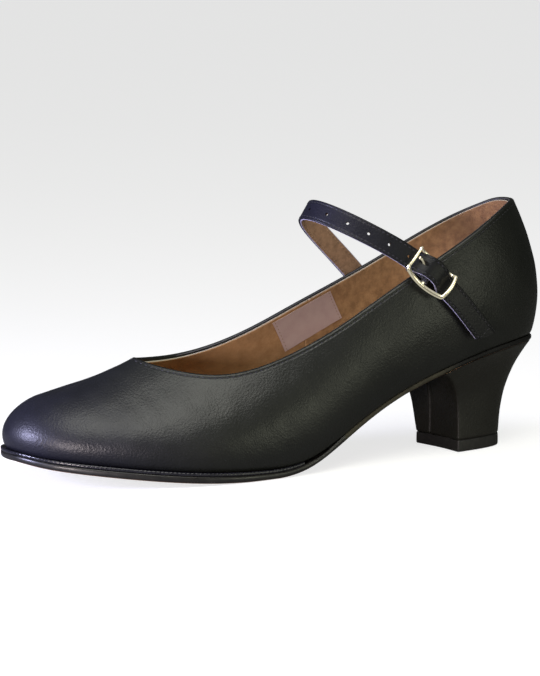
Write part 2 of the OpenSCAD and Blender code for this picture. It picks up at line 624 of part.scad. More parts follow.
// elastic tab: wraps the centre bar, crosses the topline and goes down inside
module buckle_tab() {
    thickness = 0.8;
    width = 7.6;
    // middle line as [y, z] in the buckle frame
    path = [[-0.9, -0.76], [2.4, -0.9], [5, -1.2], [6.7, -2.5], [7.3, -4.4], [6.9, -6.4],
            [4.5, -7.1], [1, -6.6], [-4, -6.15], [-10, -6.25]];
    last = len(path) - 1;
    function heading(i) = unit(path[min(i + 1, last)] - path[max(i - 1, 0)]);
    function edge(side) = [for (i = [0:last])
        path[i] + side * [-heading(i).y, heading(i).x] * thickness / 2];
    color("#26262a") in_buckle() difference() {
        union() {
            bar(1.5, width, 32);
            translate([-width / 2, 0, 0]) rotate([90, 0, 90]) linear_extrude(width)
                polygon(concat(edge(1), reverse(edge(-1))));
        }
        bar(wire_r + 0.06, 10, 32);
        translate([-1.5, -2.2, -0.345]) cube([3, 5, 4]);  // notch for the prong
    }
}

upper();
vamp_lining();
quarter_lining();
toe_puff();
heel_counter();
topline_tape();
size_label();
insole_board();
shank();
shank_rivets();
bottom_filler();
cushion_foam();
sock_lining();
welt();
outsole();
heel_block();
heel_cover();
heel_nails();
heel_screw();
top_lift();
lift_pins();
strap();
strap_lining();
buckle_tab();
buckle_frame();
buckle_prong();
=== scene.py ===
"""A black leather shoe with a block heel, a suede lining and a buckled strap.

The toe points along +x, the outer side of the foot lies on +y and the heel stands on z = 0.
Shapes are worked out in millimetres; add_mesh turns them into metres.
"""
import math
from functools import cached_property
import bmesh
import bpy
import numpy as np
from mathutils import Matrix, Vector


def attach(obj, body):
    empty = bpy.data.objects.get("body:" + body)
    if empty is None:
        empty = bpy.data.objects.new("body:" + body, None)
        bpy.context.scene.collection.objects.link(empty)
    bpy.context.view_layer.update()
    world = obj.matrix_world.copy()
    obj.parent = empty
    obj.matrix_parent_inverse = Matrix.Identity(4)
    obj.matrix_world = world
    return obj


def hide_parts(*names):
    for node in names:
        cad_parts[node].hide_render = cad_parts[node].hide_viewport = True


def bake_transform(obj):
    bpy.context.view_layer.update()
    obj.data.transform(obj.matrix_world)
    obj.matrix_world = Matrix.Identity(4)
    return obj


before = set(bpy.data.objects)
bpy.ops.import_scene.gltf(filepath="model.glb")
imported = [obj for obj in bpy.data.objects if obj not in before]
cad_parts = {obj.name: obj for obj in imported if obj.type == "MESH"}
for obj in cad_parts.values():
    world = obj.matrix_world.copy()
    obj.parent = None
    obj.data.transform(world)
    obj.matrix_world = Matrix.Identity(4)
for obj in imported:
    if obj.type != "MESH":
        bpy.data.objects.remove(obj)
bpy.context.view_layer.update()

MM = 0.001

# ------------------------------------------------------------------ shape of the shoe
# Spline controls, evenly spaced in t from the back (0) to the toe (1).
# The feather line is where the upper meets the sole.
FEATHER_Y_OUT = [-2, 9.5, 19.5, 23.5, 24, 31, 36.5, 31.5, 22.5, 12, -4]
FEATHER_Y_IN = [2, 13, 22.5, 24, 18, 20, 33, 36.5, 30.5, 17.5, 4]
FEATHER_Z = [46.5, 46.8, 47, 46, 43.5, 38, 30.5, 18.5, 3.8, 3.8, 4.8, 6.8, 9, 10.8, 12.3, 13.9, 14.1]
# The ridge is the line that the two sides rise to; its x is counted from the feather line.
RIDGE_X = [38, 38, 20, 7.5, 4, 8, 13, 4, -9, -20, -20]
RIDGE_Y = [0, 0, 0, 0, 0, 1, 1, 0, -2, -4, -5]
RIDGE_Z = [150, 150, 151, 141, 115, 79, 54.5, 44, 39, 36, 36]
# Exponents of the wall's section, and how far each side bulges.
FULLNESS = [2, 2, 1.35, 1.1, 1.05, 1.2, 1.5, 1.55, 1.3, 1, 1]
RISE = [1.06, 1.06, 1, 1, 1, 1.05, 1.05, 1, 0.9, 0.78, 0.78]
BULGE_OUT = [5, 5, 3.8, 4.4, 4.8, 4.3, 2.7, 2.3, 2.5, 1.7, 1.7]
BULGE_IN = [5, 5, 5.1, 5, 6, 5, 3, 2.5, 2.3, 1.7, 1.7]
# Heights of the topline, spaced from the back to the throat.
TOPLINE_Z_OUT = [105, 105, 104.5, 101.5, 93.5, 83.5, 72, 57.5, 45.5, 37.5, 40]
TOPLINE_Z_IN = [105, 105, 102, 97.5, 90, 80.5, 71.5, 62.5, 50, 42, 42]
# How far the sole stands out past the feather line, and what it adds to its base thickness.
SOLE_REACH = [0.4, 0.3, 0.2, -0.4, -1, 0, 2.2, 2.7, 2.5, 2.1, 1.8]
SOLE_EXTRA = [0, 0, 0, 0, 0.1, 1.6, 2.1, 2.1, 2, 1.8, 1.6]

THROAT = 0.66            # t of the front end of the opening
BACK_X, LENGTH = -31.0, 236.0
MARGIN, UPPER_THICK = 9.5, 1.2
LINING_DEPTH = 2.77      # from the outer surface to the inner face of the lining
SOCK_Z = 4.22            # underside of the sock above the feather line
SOLE_THICK = 2.2
BULGE_SCALE = 27 / 4     # makes v (1 - v)^2 peak at 1


def spline(controls, u):
    """Uniform cubic B-spline through evenly spaced controls."""
    c = np.asarray(controls, float)
    n = len(c)
    place = np.clip(u, 0, 1) * (n - 1)
    i = np.minimum(np.floor(place).astype(int), n - 2)
    f = place - i
    before = np.where(i > 0, c[np.maximum(i - 1, 0)], 2 * c[0] - c[1])
    after = np.where(i < n - 2, c[np.minimum(i + 2, n - 1)], 2 * c[n - 1] - c[n - 2])
    return ((1 - f) ** 3 * before + (3 * f ** 3 - 6 * f * f + 4) * c[i]
            + (-3 * f ** 3 + 3 * f * f + 3 * f + 1) * c[i + 1] + f ** 3 * after) / 6


def unit(v):
    v = np.asarray(v, float)
    return v / np.maximum(np.linalg.norm(v, axis=-1, keepdims=True), 1e-12)


def smoothstep(x):
    s = np.clip(x, 0, 1)
    return s * s * (3 - 2 * s)


def bell(x, centre, width):
    return np.exp(-((x - centre) / width) ** 2)


def x_at(t):
    return BACK_X + LENGTH * (1 - np.cos(np.pi * t)) / 2


def t_at(x):
    return np.arccos(np.clip(1 - 2 * (np.asarray(x, float) - BACK_X) / LENGTH, -1, 1)) / np.pi


def by_side(outer, inner, t, side):
    """Spline value for the outer side (side > 0) or the inner side."""
    return np.where(side > 0, spline(outer, t), spline(inner, t))


def feather(t, side):
    t = np.asarray(t, float)
    y = np.where(side > 0, spline(FEATHER_Y_OUT, t), -spline(FEATHER_Y_IN, t))
    return np.stack([x_at(t), y, spline(FEATHER_Z, t)], -1)


def feather_z(x):
    return spline(FEATHER_Z, t_at(x))


def feather_normal(t, side):
    """Outward horizontal normal of the feather line."""
    v = feather(np.minimum(t + 0.001, 1), side) - feather(np.maximum(t - 0.001, 0), side)
    return unit(np.stack([-v[..., 1], v[..., 0]], -1)) * np.asarray(side, float)[..., None]


def beside_feather(t, side, distance):
    """Points of the feather line moved outwards by a distance."""
    point = feather(t, side)
    point[..., :2] += feather_normal(t, side) * np.asarray(distance, float)[..., None]
    return point


def surface(t, side, k):
    """Outer surface: t back to toe, side +1 or -1, k from feather line (0) to ridge (1)."""
    t, side, k = np.broadcast_arrays(*(np.asarray(a, float) for a in (t, side, k)))
    foot = feather(t, side)
    normal = feather_normal(t, side)
    ridge = np.stack([x_at(t) + spline(RIDGE_X, t), spline(RIDGE_Y, t), spline(RIDGE_Z, t)], -1)
    angle = np.pi / 2 * np.clip(k, 0, 1)
    h = np.clip(np.cos(angle), 0, 1) ** spline(FULLNESS, t)
    v = np.sin(angle) ** spline(RISE, t)
    bulge = by_side(BULGE_OUT, BULGE_IN, t, side) * BULGE_SCALE * v * (1 - v) ** 2
    p = foot * h[..., None] + ridge * (1 - h[..., None])
    p[..., 0] += normal[..., 0] * bulge
    p[..., 1] += normal[..., 1] * bulge
    p[..., 2] = foot[..., 2] * (1 - v) + ridge[..., 2] * v
    return p


def surface_frame(t, side, k):
    """Point of the outer surface and its outward unit normal."""
    t, side, k = np.broadcast_arrays(*(np.asarray(a, float) for a in (t, side, k)))
    t_step = np.where(t < 0.5, 0.002, -0.002)
    k_step = np.where(k < 0.5, 0.002, -0.002)
    point = surface(t, side, k)
    # the ridge ends in a point over the toe: take the direction from just below it
    k = np.where(t > 0.93, np.minimum(k, 0.94), k)
    start = surface(t, side, k)
    along = (surface(t + t_step, side, k) - start) / t_step[..., None]
    up = (surface(t, side, k + k_step) - start) / k_step[..., None]
    return point, -unit(np.cross(along, up)) * side[..., None]


def k_at_height(t, height):
    """k at a height above the feather line."""
    share = np.clip(height / (spline(RIDGE_Z, t) - spline(FEATHER_Z, t)), 0, 1)
    return np.arcsin(share ** (1 / spline(RISE, t))) / (np.pi / 2)


def topline_k(t, side, throat=THROAT, drop=0.0):
    t = np.asarray(t, float)
    u = np.minimum(t / throat, 1)
    top_z = by_side(TOPLINE_Z_OUT, TOPLINE_Z_IN, u, np.asarray(side)) - drop
    k = k_at_height(t, top_z - spline(FEATHER_Z, t))
    return np.where(u >= 1, 1.0, 1 - (1 - k) * np.clip(1 - u ** 12, 0, 1) ** 0.34)


# ------------------------------------------------------------------ mesh helpers
def smooth_noise(points, wavelength, seed):
    """Smooth noise summed from nine fixed sine waves."""
    rng = np.random.RandomState(seed)
    total = np.zeros(points.shape[:-1])
    for _ in range(9):
        direction = rng.normal(size=3)
        direction /= np.linalg.norm(direction)
        wave = wavelength * rng.uniform(0.7, 1.5)
        total += np.sin(points @ direction * (2 * np.pi / wave) + rng.uniform(0, 6.28))
    return total / 4.5


def mark_sharp(bm, degrees):
    for edge in bm.edges:
        if len(edge.link_faces) == 2 and edge.calc_face_angle(0) > math.radians(degrees):
            edge.smooth = False


def add_mesh(name, verts, faces, body, slot, mats, weld=0.004, face_mats=None, sharp=None):
    """A smooth-shaded object from points in millimetres."""
    mesh = bpy.data.meshes.new(name)
    mesh.from_pydata([tuple(v) for v in np.asarray(verts, float) * MM], [],
                     [tuple(int(i) for i in f) for f in faces])
    for material in mats:
        mesh.materials.append(material)
    if face_mats is not None:
        mesh.polygons.foreach_set("material_index", np.asarray(face_mats, np.int32))
    bm = bmesh.new()
    bm.from_mesh(mesh)
    if weld:
        bmesh.ops.remove_doubles(bm, verts=bm.verts, dist=weld * MM)
    bmesh.ops.dissolve_degenerate(bm, edges=bm.edges, dist=1e-7)
    bmesh.ops.recalc_face_normals(bm, faces=bm.faces)
    for face in bm.faces:
        face.smooth = True
    if sharp:
        mark_sharp(bm, sharp)
    bm.to_mesh(mesh)
    bm.free()
    mesh.update()
    ob = bpy.data.objects.new(name, mesh)
    bpy.context.scene.collection.objects.link(ob)
    if body:
        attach(ob, body)
    return ob


def grid_faces(columns, rows, closed=False, start=0, flip=False):
    faces = []
    for c in range(columns if closed else columns - 1):
        here = start + c * rows
        following = start + (c + 1) % columns * rows
        for j in range(rows - 1):
            quad = (here + j, following + j, following + j + 1, here + j + 1)
            faces.append(quad[::-1] if flip else quad)
    return faces


def slab(first, second, rim_rows):
    """Mesh between two sheets (columns, rows, 3), walled at both end columns and the rim rows."""
    columns, rows = first.shape[:2]
    h = columns * rows
    faces = grid_faces(columns, rows) + grid_faces(columns, rows, start=h, flip=True)
    for c in range(columns - 1):
        for row in rim_rows:
            a, b = c * rows + row, (c + 1) * rows + row
            faces.append((a, b, h + b, h + a))
    for row in range(rows - 1):
        for c in (0, columns - 1):
            a = c * rows + row
            faces.append((a, a + 1, h + a + 1, h + a))
    return np.concatenate([first.reshape(-1, 3), second.reshape(-1, 3)]), faces


def skin(rings, closed=False):
    """Mesh over a list of rings (count, points, 3), capped unless the path is closed."""
    count, n, _ = rings.shape
    faces = []
    for i in range(count if closed else count - 1):
        a, b = i * n, ((i + 1) % count) * n
        for j in range(n):
            k = (j + 1) % n
            faces.append((a + j, a + k, b + k, b + j))
    if not closed:
        faces.append(tuple(range(n))[::-1])
        faces.append(tuple(range((count - 1) * n, count * n)))
    return rings.reshape(-1, 3), faces


def join(parts):
    verts, faces, base = [], [], 0
    for part_verts, part_faces in parts:
        verts.append(part_verts)
        faces += [tuple(i + base for i in face) for face in part_faces]
        base += len(part_verts)
    return np.concatenate(verts), faces


def stitches(points, along, normals, length, radius, lift):
    """Short thread stitches, arched by lift above the points, with their tips sunk."""
    u = np.linspace(-1, 1, 7)[:, None, None]
    angle = (2 * np.pi * np.arange(6) / 6)[None, :, None]
    thickness = radius * np.maximum(0.04, 1 - np.abs(u) ** 2.6) ** 0.5
    parts = []
    for p, t, n, b in zip(points, along, normals, unit(np.cross(along, normals))):
        centre = p + t * (u * length / 2) + n * (lift * (1 - u * u) - 0.10 * u * u)
        ring = thickness * (np.cos(angle) * b + 0.85 * np.sin(angle) * n)
        parts.append(skin(centre + ring))
    return join(parts)


def arc_lengths(points):
    return np.concatenate([[0], np.cumsum(np.linalg.norm(np.diff(points, axis=0), axis=1))])


def loop_lengths(points):
    return arc_lengths(np.vstack([points, points[:1]]))


def resample_loop(points, count, values=None):
    """Values (by default the points) at even spacing along a closed polyline."""
    lengths = loop_lengths(points)
    at = np.linspace(0, lengths[-1], count, endpoint=False)
    values = points if values is None else values
    return np.stack([np.interp(at, lengths, np.append(v, v[0])) for v in values.T], -1)


def smooth_loop(points, passes):
    for _ in range(passes):
        points = points * 0.5 + 0.25 * (np.roll(points, 1, 0) + np.roll(points, -1, 0))
    return points


# ------------------------------------------------------------------ materials
class NodeGraph:
    """Writes the node tree of a material or a world. Inputs take a value or a socket."""

    def __init__(self, owner, output="OutputMaterial"):
        self.owner = owner
        owner.use_nodes = True
        self.tree = owner.node_tree
        self.tree.nodes.clear()
        self.output = self.node(output)

    def node(self, kind, inputs=None, **settings):
        made = self.tree.nodes.new("ShaderNode" + kind)
        for name, value in settings.items():
            setattr(made, name, value)
        for key, value in (inputs or {}).items():
            socket = made.inputs[key]
            if isinstance(value, bpy.types.NodeSocket):
                self.tree.links.new(value, socket)
            else:
                socket.default_value = (*value, 1) if socket.type == "RGBA" else value
        return made

    @cached_property
    def coords(self):
        return self.node("TexCoord").outputs["Object"]

    def finish(self, shader):
        self.tree.links.new(shader.outputs[0], self.output.inputs[0])
        return self.owner

    def principled(self, inputs):
        return self.finish(self.node("BsdfPrincipled", inputs))

    def x(self):
        return self.node("SeparateXYZ", {0: self.coords}).outputs[0]

    def stretched(self, scale):
        mapping = self.node("Mapping", {"Scale": scale, "Vector": self.coords})
        return mapping.outputs[0]

    def noise(self, scale, detail=4, roughness=0.6, coords=None, distortion=0.0):
        inputs = {"Scale": scale, "Detail": detail, "Roughness": roughness,
                  "Distortion": distortion, "Vector": coords or self.coords}
        return self.node("TexNoise", inputs).outputs["Fac"]

    def cells(self, scale, feature="F1", smoothness=None):
        inputs = {"Scale": scale, "Vector": self.coords}
        if smoothness is not None:
            inputs["Smoothness"] = smoothness
        return self.node("TexVoronoi", inputs, feature=feature).outputs["Distance"]

    def wave(self, scale, axis, distortion):
        inputs = {"Scale": scale, "Distortion": distortion, "Detail": 1.0, "Vector": self.coords}
        return self.node("TexWave", inputs, bands_direction=axis).outputs["Fac"]

    def remap(self, value, span=(0.3, 0.7), to=(0.0, 1.0)):
        inputs = {0: value, 1: span[0], 2: span[1], 3: to[0], 4: to[1]}
        return self.node("MapRange", inputs).outputs[0]

    def math(self, operation, a, b):
        return self.node("Math", {0: a, 1: b}, operation=operation).outputs[0]

    def mix(self, factor, a, b):
        return self.node("Mix", {0: factor, 6: a, 7: b}, data_type="RGBA").outputs[2]

    def bump(self, height, distance, strength, under=None):
        inputs = {"Strength": strength, "Distance": distance, "Height": height}
        if under is not None:
            inputs["Normal"] = under
        return self.node("Bump", inputs).outputs[0]

    def camera_switch(self, seen, unseen):
        """Show one shader to the camera and the other to every other ray."""
        is_camera = self.node("LightPath").outputs["Is Camera Ray"]
        inputs = {0: is_camera, 1: unseen.outputs[0], 2: seen.outputs[0]}
        return self.finish(self.node("MixShader", inputs))


def material_graph(name):
    return NodeGraph(bpy.data.materials.new(name))


def tinted(colour, factor, add=0.0):
    return tuple(c * factor + add for c in colour)


def black_leather(name, base=(0.0058, 0.0066, 0.0052), painted_blue_sheen=(0.0075, 0.0075, 0.0145),
                  painted_sheen_span=(0.13, 0.2), roughness=(0.36, 0.49), grain=0.00015, coat=0.12,
                  specular=0.36):
    """Fine-grained leather with a painted blue sheen: it turns from base to the bluish sheen colour
    over a span of x.
    """
    g = material_graph(name)
    # painted blue sheen: a bluish highlight mixed into the colour towards larger x, at the toe and
    # the front of the strap
    colour = g.mix(g.remap(g.x(), span=painted_sheen_span), base, painted_blue_sheen)
    cloud = g.remap(g.noise(scale=14, detail=3), span=(0.35, 0.7), to=(0.0, 0.35))
    colour = g.mix(cloud, colour, tinted(base, 1.7, add=0.002))
    fleck = g.remap(g.noise(scale=160), span=(0.4, 0.75), to=(0.0, 0.25))
    colour = g.mix(fleck, colour, tinted(base, 0.5))
    # grain: two sizes of small cells broken up by noise
    large = g.math("MULTIPLY", g.cells(scale=1150, feature="SMOOTH_F1", smoothness=0.6), 0.55)
    small = g.math("MULTIPLY", g.cells(scale=2100), 0.25)
    fine = g.math("MULTIPLY", g.noise(scale=1900, detail=3), 0.35)
    height = g.math("ADD", g.math("ADD", large, small), fine)
    waves = g.bump(g.noise(scale=70, detail=3, roughness=0.5), distance=0.00015, strength=0.2)
    normal = g.bump(height, distance=grain, strength=0.85, under=waves)
    return g.principled({
        "Base Color": colour, "Roughness": g.remap(g.noise(scale=45), to=roughness),
        "Specular IOR Level": specular, "Coat Weight": coat, "Coat Roughness": 0.3,
        "Normal": normal, "Coat Normal": normal})


def suede(name, base=(0.52, 0.305, 0.14), dark=(0.36, 0.185, 0.078),
          pink=(0.44, 0.225, 0.145), edge=None):
    """Suede, pinker at the back and darkened towards the back by painted shade; edge is a colour
    laid on by the "edge" attribute.
    """
    g = material_graph(name)
    mid = g.noise(scale=260, detail=5, roughness=0.7)
    fibre = g.noise(scale=2600, roughness=0.7, distortion=0.6)
    x = g.x()
    colour = g.mix(g.remap(g.noise(scale=22, roughness=0.65)), dark, base)
    colour = g.mix(g.remap(x, span=(0.03, -0.02), to=(0.0, 0.8)), colour, pink)
    # painted shade: darker towards the back (smaller x), where the inside of the shoe lies in shade
    painted_shade = g.remap(x, span=(0.130, 0.05), to=(0.0, 0.58))
    colour = g.mix(painted_shade, colour, (0.0, 0.0, 0.0))
    colour = g.mix(g.remap(mid, span=(0.35, 0.7), to=(0.0, 0.4)), colour, tinted(base, 1.3))
    colour = g.mix(g.remap(fibre, to=(0.0, 0.35)), colour, tinted(base, 0.55))
    if edge:
        band = g.node("Attribute", attribute_name="edge").outputs["Fac"]
        colour = g.mix(band, colour, edge)
    nap = g.bump(mid, distance=0.00025, strength=0.5)
    return g.principled({
        "Base Color": colour, "Roughness": 0.9, "Specular IOR Level": 0.15,
        "Sheen Weight": 0.2, "Sheen Roughness": 0.5, "Sheen Tint": (0.9, 0.75, 0.6),
        "Normal": g.bump(fibre, distance=0.0001, strength=0.7, under=nap)})


def mottled(name, colours, roughness, scale, bump, metallic=0.0, stretch=None):
    """Two colours, a roughness range and a bump, all from noise of one scale."""
    g = material_graph(name)
    coords = g.stretched(stretch) if stretch else None
    noise = g.noise(scale=scale, coords=coords)
    rough = g.noise(scale=scale * 0.6, coords=coords)
    return g.principled({
        "Base Color": g.mix(g.remap(noise), *colours), "Roughness": g.remap(rough, to=roughness),
        "Metallic": metallic, "Normal": g.bump(noise, distance=bump, strength=0.6)})


def waist_material():
    """Edge of the sole: olive in front of the heel, black round the seat as painted shadow of the
    gap between the upper and the heel.
    """
    g = material_graph("waist_edge")
    olive = g.mix(g.remap(g.noise(scale=400)), (0.050, 0.047, 0.030), (0.026, 0.024, 0.015))
    # painted shadow: black behind x = 0.014 to 0.024 m, round the seat under the upper
    clear_of_seat_shadow = g.remap(g.x(), span=(0.014, 0.024))
    return g.principled({"Base Color": g.mix(clear_of_seat_shadow, (0.003, 0.003, 0.003), olive),
                         "Roughness": 0.6, "Specular IOR Level": 0.3})


def elastic_material():
    g = material_graph("ribbed_elastic")
    ribs = g.wave(scale=900, axis="X", distortion=0.3)
    height = g.math("ADD", ribs, g.noise(scale=2200, detail=3))
    return g.principled({
        "Base Color": g.mix(ribs, (0.006, 0.006, 0.009), (0.022, 0.022, 0.03)),
        "Roughness": 0.72, "Sheen Weight": 0.2,
        "Normal": g.bump(height, distance=0.0002, strength=0.8)})


def label_material():
    g = material_graph("blank_label_satin")
    warp = g.wave(scale=1300, axis="X", distortion=0.2)
    weft = g.wave(scale=1300, axis="Z", distortion=0.2)
    cloud = g.remap(g.noise(scale=180))
    colour = g.mix(cloud, (0.42, 0.30, 0.275), (0.49, 0.365, 0.335))
    colour = g.mix(g.math("MULTIPLY", warp, 0.15), colour, (0.36, 0.23, 0.21))
    weave = g.math("ADD", warp, weft)
    return g.principled({
        "Base Color": colour, "Roughness": 0.6, "Sheen Weight": 0.25,
        "Normal": g.bump(weave, distance=0.00008, strength=0.6)})


def buckle_material():
    """Pale gold with a painted reflection: bright surroundings for it to mirror are emitted by
    reflection direction.
    """
    g = material_graph("buckle_pale_gold")
    brushed = g.noise(scale=600, detail=5, roughness=0.65, coords=g.stretched((1, 1, 5)))
    spots = g.remap(g.noise(scale=220, roughness=0.7), span=(0.35, 0.75))
    # painted reflection: a glow where the reflection points up or steeply down stands in for bright
    # surroundings
    reflection = g.node("TexCoord").outputs["Reflection"]
    height = g.node("SeparateXYZ", {0: reflection}).outputs[2]
    above = g.remap(height, span=(-0.15, 0.55))
    below = g.remap(height, span=(-0.2, -0.75), to=(0.0, 0.75))
    painted_reflection = g.math("ADD", above, below)
    return g.principled({
        "Base Color": g.mix(spots, (0.86, 0.79, 0.60), (0.72, 0.62, 0.43)),
        "Metallic": 1.0, "Roughness": g.remap(brushed, to=(0.12, 0.26)),
        "Normal": g.bump(brushed, distance=0.00002, strength=0.5),
        "Emission Strength": 0.46,
        "Emission Color": g.mix(painted_reflection, (0.03, 0.024, 0.014), (0.95, 0.90, 0.66))})


HEEL_BLACK = (0.0105, 0.0102, 0.0078)
LEATHER = black_leather("black_leather")
# the heel's sheen colour is its own base, so it carries no painted sheen
HEEL_LEATHER = black_leather("heel_leather", base=HEEL_BLACK, painted_blue_sheen=HEEL_BLACK,
                             roughness=(0.38, 0.50), coat=0.1)
# the front of the strap's loop carries the painted blue sheen
STRAP_LEATHER = black_leather(
    "strap_leather", base=(0.0062, 0.0066, 0.0072), painted_blue_sheen=(0.0105, 0.0105, 0.0195),
    painted_sheen_span=(0.04, 0.072), roughness=(0.38, 0.52), grain=0.00013, coat=0.04, specular=0.22)
RAW_EDGE = mottled("strap_raw_edge", colours=((0.42, 0.40, 0.52), (0.25, 0.24, 0.32)),
                   roughness=(0.75, 0.9), scale=900, bump=0.00008)
DYED_EDGE = mottled("strap_dyed_edge", colours=((0.020, 0.022, 0.036), (0.010, 0.011, 0.018)),
                    roughness=(0.55, 0.75), scale=900, bump=0.00008)
LINING = suede("lining_suede", edge=(0.40, 0.37, 0.31))
STRAP_LINING = suede("strap_lining_suede", base=(0.50, 0.31, 0.185), dark=(0.34, 0.20, 0.115),
                     pink=(0.50, 0.31, 0.185))
SOCK = suede("sock_suede", base=(0.60, 0.35, 0.17), dark=(0.45, 0.235, 0.105))
THREAD = mottled("black_thread", colours=((0.008, 0.008, 0.010), (0.022, 0.022, 0.027)),
                 roughness=(0.55, 0.75), scale=1500, bump=0.00006)
TAN_THREAD = mottled("tan_thread", colours=((0.20, 0.13, 0.08), (0.28, 0.19, 0.12)),
                     roughness=(0.7, 0.85), scale=1500, bump=0.00006)
WELT = mottled("welt_black", colours=((0.006, 0.006, 0.009), (0.014, 0.014, 0.019)),
               roughness=(0.16, 0.34), scale=350, bump=0.00012)
SOLE_EDGE = mottled("sole_edge_black", colours=((0.007, 0.007, 0.007), (0.016, 0.015, 0.013)),
                    roughness=(0.25, 0.45), scale=300, bump=0.0001)
SOLE_BOTTOM = mottled("sole_bottom_leather", colours=((0.33, 0.17, 0.10), (0.22, 0.105, 0.06)),
                      roughness=(0.6, 0.85), scale=120, bump=0.00012)
WAIST = waist_material()
RUBBER = mottled("top_lift_rubber", colours=((0.008, 0.008, 0.008), (0.018, 0.017, 0.016)),
                 roughness=(0.42, 0.6), scale=500, bump=0.00012)
STEEL = mottled("steel_parts", colours=((0.45, 0.46, 0.48), (0.6, 0.6, 0.62)),
                roughness=(0.25, 0.45), scale=700, bump=0.00003, metallic=1.0, stretch=(1, 1, 8))
WOOD = mottled("heel_block_wood", colours=((0.5, 0.35, 0.2), (0.38, 0.25, 0.13)),
               roughness=(0.55, 0.7), scale=120, bump=0.0001, stretch=(6, 6, 1))
BOARD = mottled("insole_fibreboard", colours=((0.42, 0.3, 0.18), (0.5, 0.38, 0.25)),
                roughness=(0.75, 0.9), scale=900, bump=0.00008)
CORK = mottled("cork_filler", colours=((0.33, 0.21, 0.11), (0.18, 0.10, 0.05)),
               roughness=(0.8, 0.95), scale=700, bump=0.0003)
FOAM = mottled("cushion_foam", colours=((0.75, 0.72, 0.64), (0.62, 0.58, 0.5)),
               roughness=(0.85, 0.95), scale=1600, bump=0.0002)
STIFFENER = mottled("stiffener_sheet", colours=((0.6, 0.54, 0.42), (0.5, 0.44, 0.33)),
                    roughness=(0.6, 0.8), scale=500, bump=0.0001)
TAPE = mottled("topline_tape", colours=((0.04, 0.04, 0.042), (0.07, 0.07, 0.075)),
               roughness=(0.7, 0.85), scale=1800, bump=0.00012)
ELASTIC = elastic_material()
LABEL = label_material()
BUCKLE = buckle_material()

# CAD pieces not listed here are given black leather
CAD_MATERIALS = {
    "shank": STEEL, "shank_rivets": STEEL, "heel_nails": STEEL, "heel_screw": STEEL,
    "lift_pins": STEEL, "insole_board": BOARD, "bottom_filler": CORK, "cushion_foam": FOAM,
    "toe_puff": STIFFENER, "heel_counter": STIFFENER, "topline_tape": TAPE, "heel_block": WOOD}


def dress_cad_pieces():
    for name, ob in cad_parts.items():
        material = CAD_MATERIALS.get(name, LEATHER)
        slots = ob.data.materials
        if not slots:
            slots.append(material)
        for i in range(len(slots)):
            slots[i] = material
        for polygon in ob.data.polygons:
            polygon.use_smooth = False


dress_cad_pieces()


# ------------------------------------------------------------------ topline
def topline():
    """Closed line round the opening: outer side to the throat, then inner side to the back."""
    t = THROAT * np.sin(np.pi / 2 * np.linspace(0, 1, 900))
    t[-1] = THROAT - 1e-7
    outer, inner = [surface_frame(t, side, np.minimum(topline_k(t, side), 1)) for side in (1, -1)]
    return [np.concatenate([a, b[::-1][1:-1]]) for a, b in zip(outer, inner)]


def even_topline(points, normals, pitch):
    """Evenly spaced points with their normal, forward and upward directions."""
    count = int(round(loop_lengths(points)[-1] / pitch))
    even = resample_loop(points, count)
    normals = unit(resample_loop(points, count, normals))
    for _ in range(3):
        normals = unit(normals + np.roll(normals, 1, 0) + np.roll(normals, -1, 0))
    along = unit(np.roll(even, -1, 0) - np.roll(even, 1, 0))
    up = unit(np.cross(along, normals))
    if up[:, 2].mean() < 0:
        up = -up
    return even, normals, along, up


TOPLINE, TOPLINE_NORMALS = even_topline(*topline(), pitch=0.5)[:2]


def topline_distance(points):
    flat = points.reshape(-1, 3)
    distances = np.full(len(flat), 1e9)
    batch = 4000
    for i in range(0, len(flat), batch):
        q = flat[i:i + batch]
        nearest = ((q[:, None, :] - TOPLINE[None, ::2, :]) ** 2).sum(-1).argmin(1) * 2
        best = np.full(len(q), 1e9)
        # exact distance to the four segments round the nearest point
        for k in (-2, -1, 0, 1):
            a = TOPLINE[(nearest + k) % len(TOPLINE)]
            ab = TOPLINE[(nearest + k + 1) % len(TOPLINE)] - a
            w = np.clip(((q - a) * ab).sum(-1) / (ab * ab).sum(-1), 0, 1)
            best = np.minimum(best, np.linalg.norm(q - a - ab * w[:, None], axis=-1))
        distances[i:i + batch] = best
    return distances.reshape(points.shape[:-1])


# ------------------------------------------------------------------ upper
BACK_COLUMNS, TOE_COLUMNS = ((190, 110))
ROLL = 0.95              # radius of the folded top edge
FOLD_ROWS = [0, 0.03, 0.11, 0.24, 0.41, 0.6, 0.8, 0.98, 1.15, 1.32, 1.5, 1.66, 1.8, 1.93, 2.06,
             2.2, 2.36, 2.6, 2.95, 3.4, 4.0, 4.8, 6.0]     # rows, by distance below the top
STITCH_DEPTH = 2.02      # topline stitch groove below the top
# bead, stitch groove and ridge below the folded edge: height, depth below the top, width
FOLD_RELIEF = [(0.10, 1.15, 0.45), (-0.15, STITCH_DEPTH, 0.22), (0.04, 2.55, 0.35)]
# lasting margin, turned in under the board: distance past the feather line, height
MARGIN_OUTER = [(-MARGIN, 0.0), (-MARGIN * 0.6, 0.0), (-MARGIN * 0.3, 0.0), (-1.6, 0.0),
                (-0.8, 0.02), (-0.42, 0.18)]
MARGIN_INNER = [(d, UPPER_THICK) for d in
                (-MARGIN, -MARGIN * 0.6, -MARGIN * 0.3, -3.0, -2.0, -1.3)]


def stations(back_count, toe_count, throat=THROAT):
    """Values of t, closest together at the throat."""
    back = throat * np.sin(np.pi / 2 * np.linspace(0, 1, back_count + 1))
    w = np.linspace(0, 1, toe_count + 1)[1:]
    even_share = 0.0011 * toe_count / 12
    toe = throat + (1 - throat) * (even_share * w + (1 - even_share) * w ** 1.7)
    return np.concatenate([back, toe])


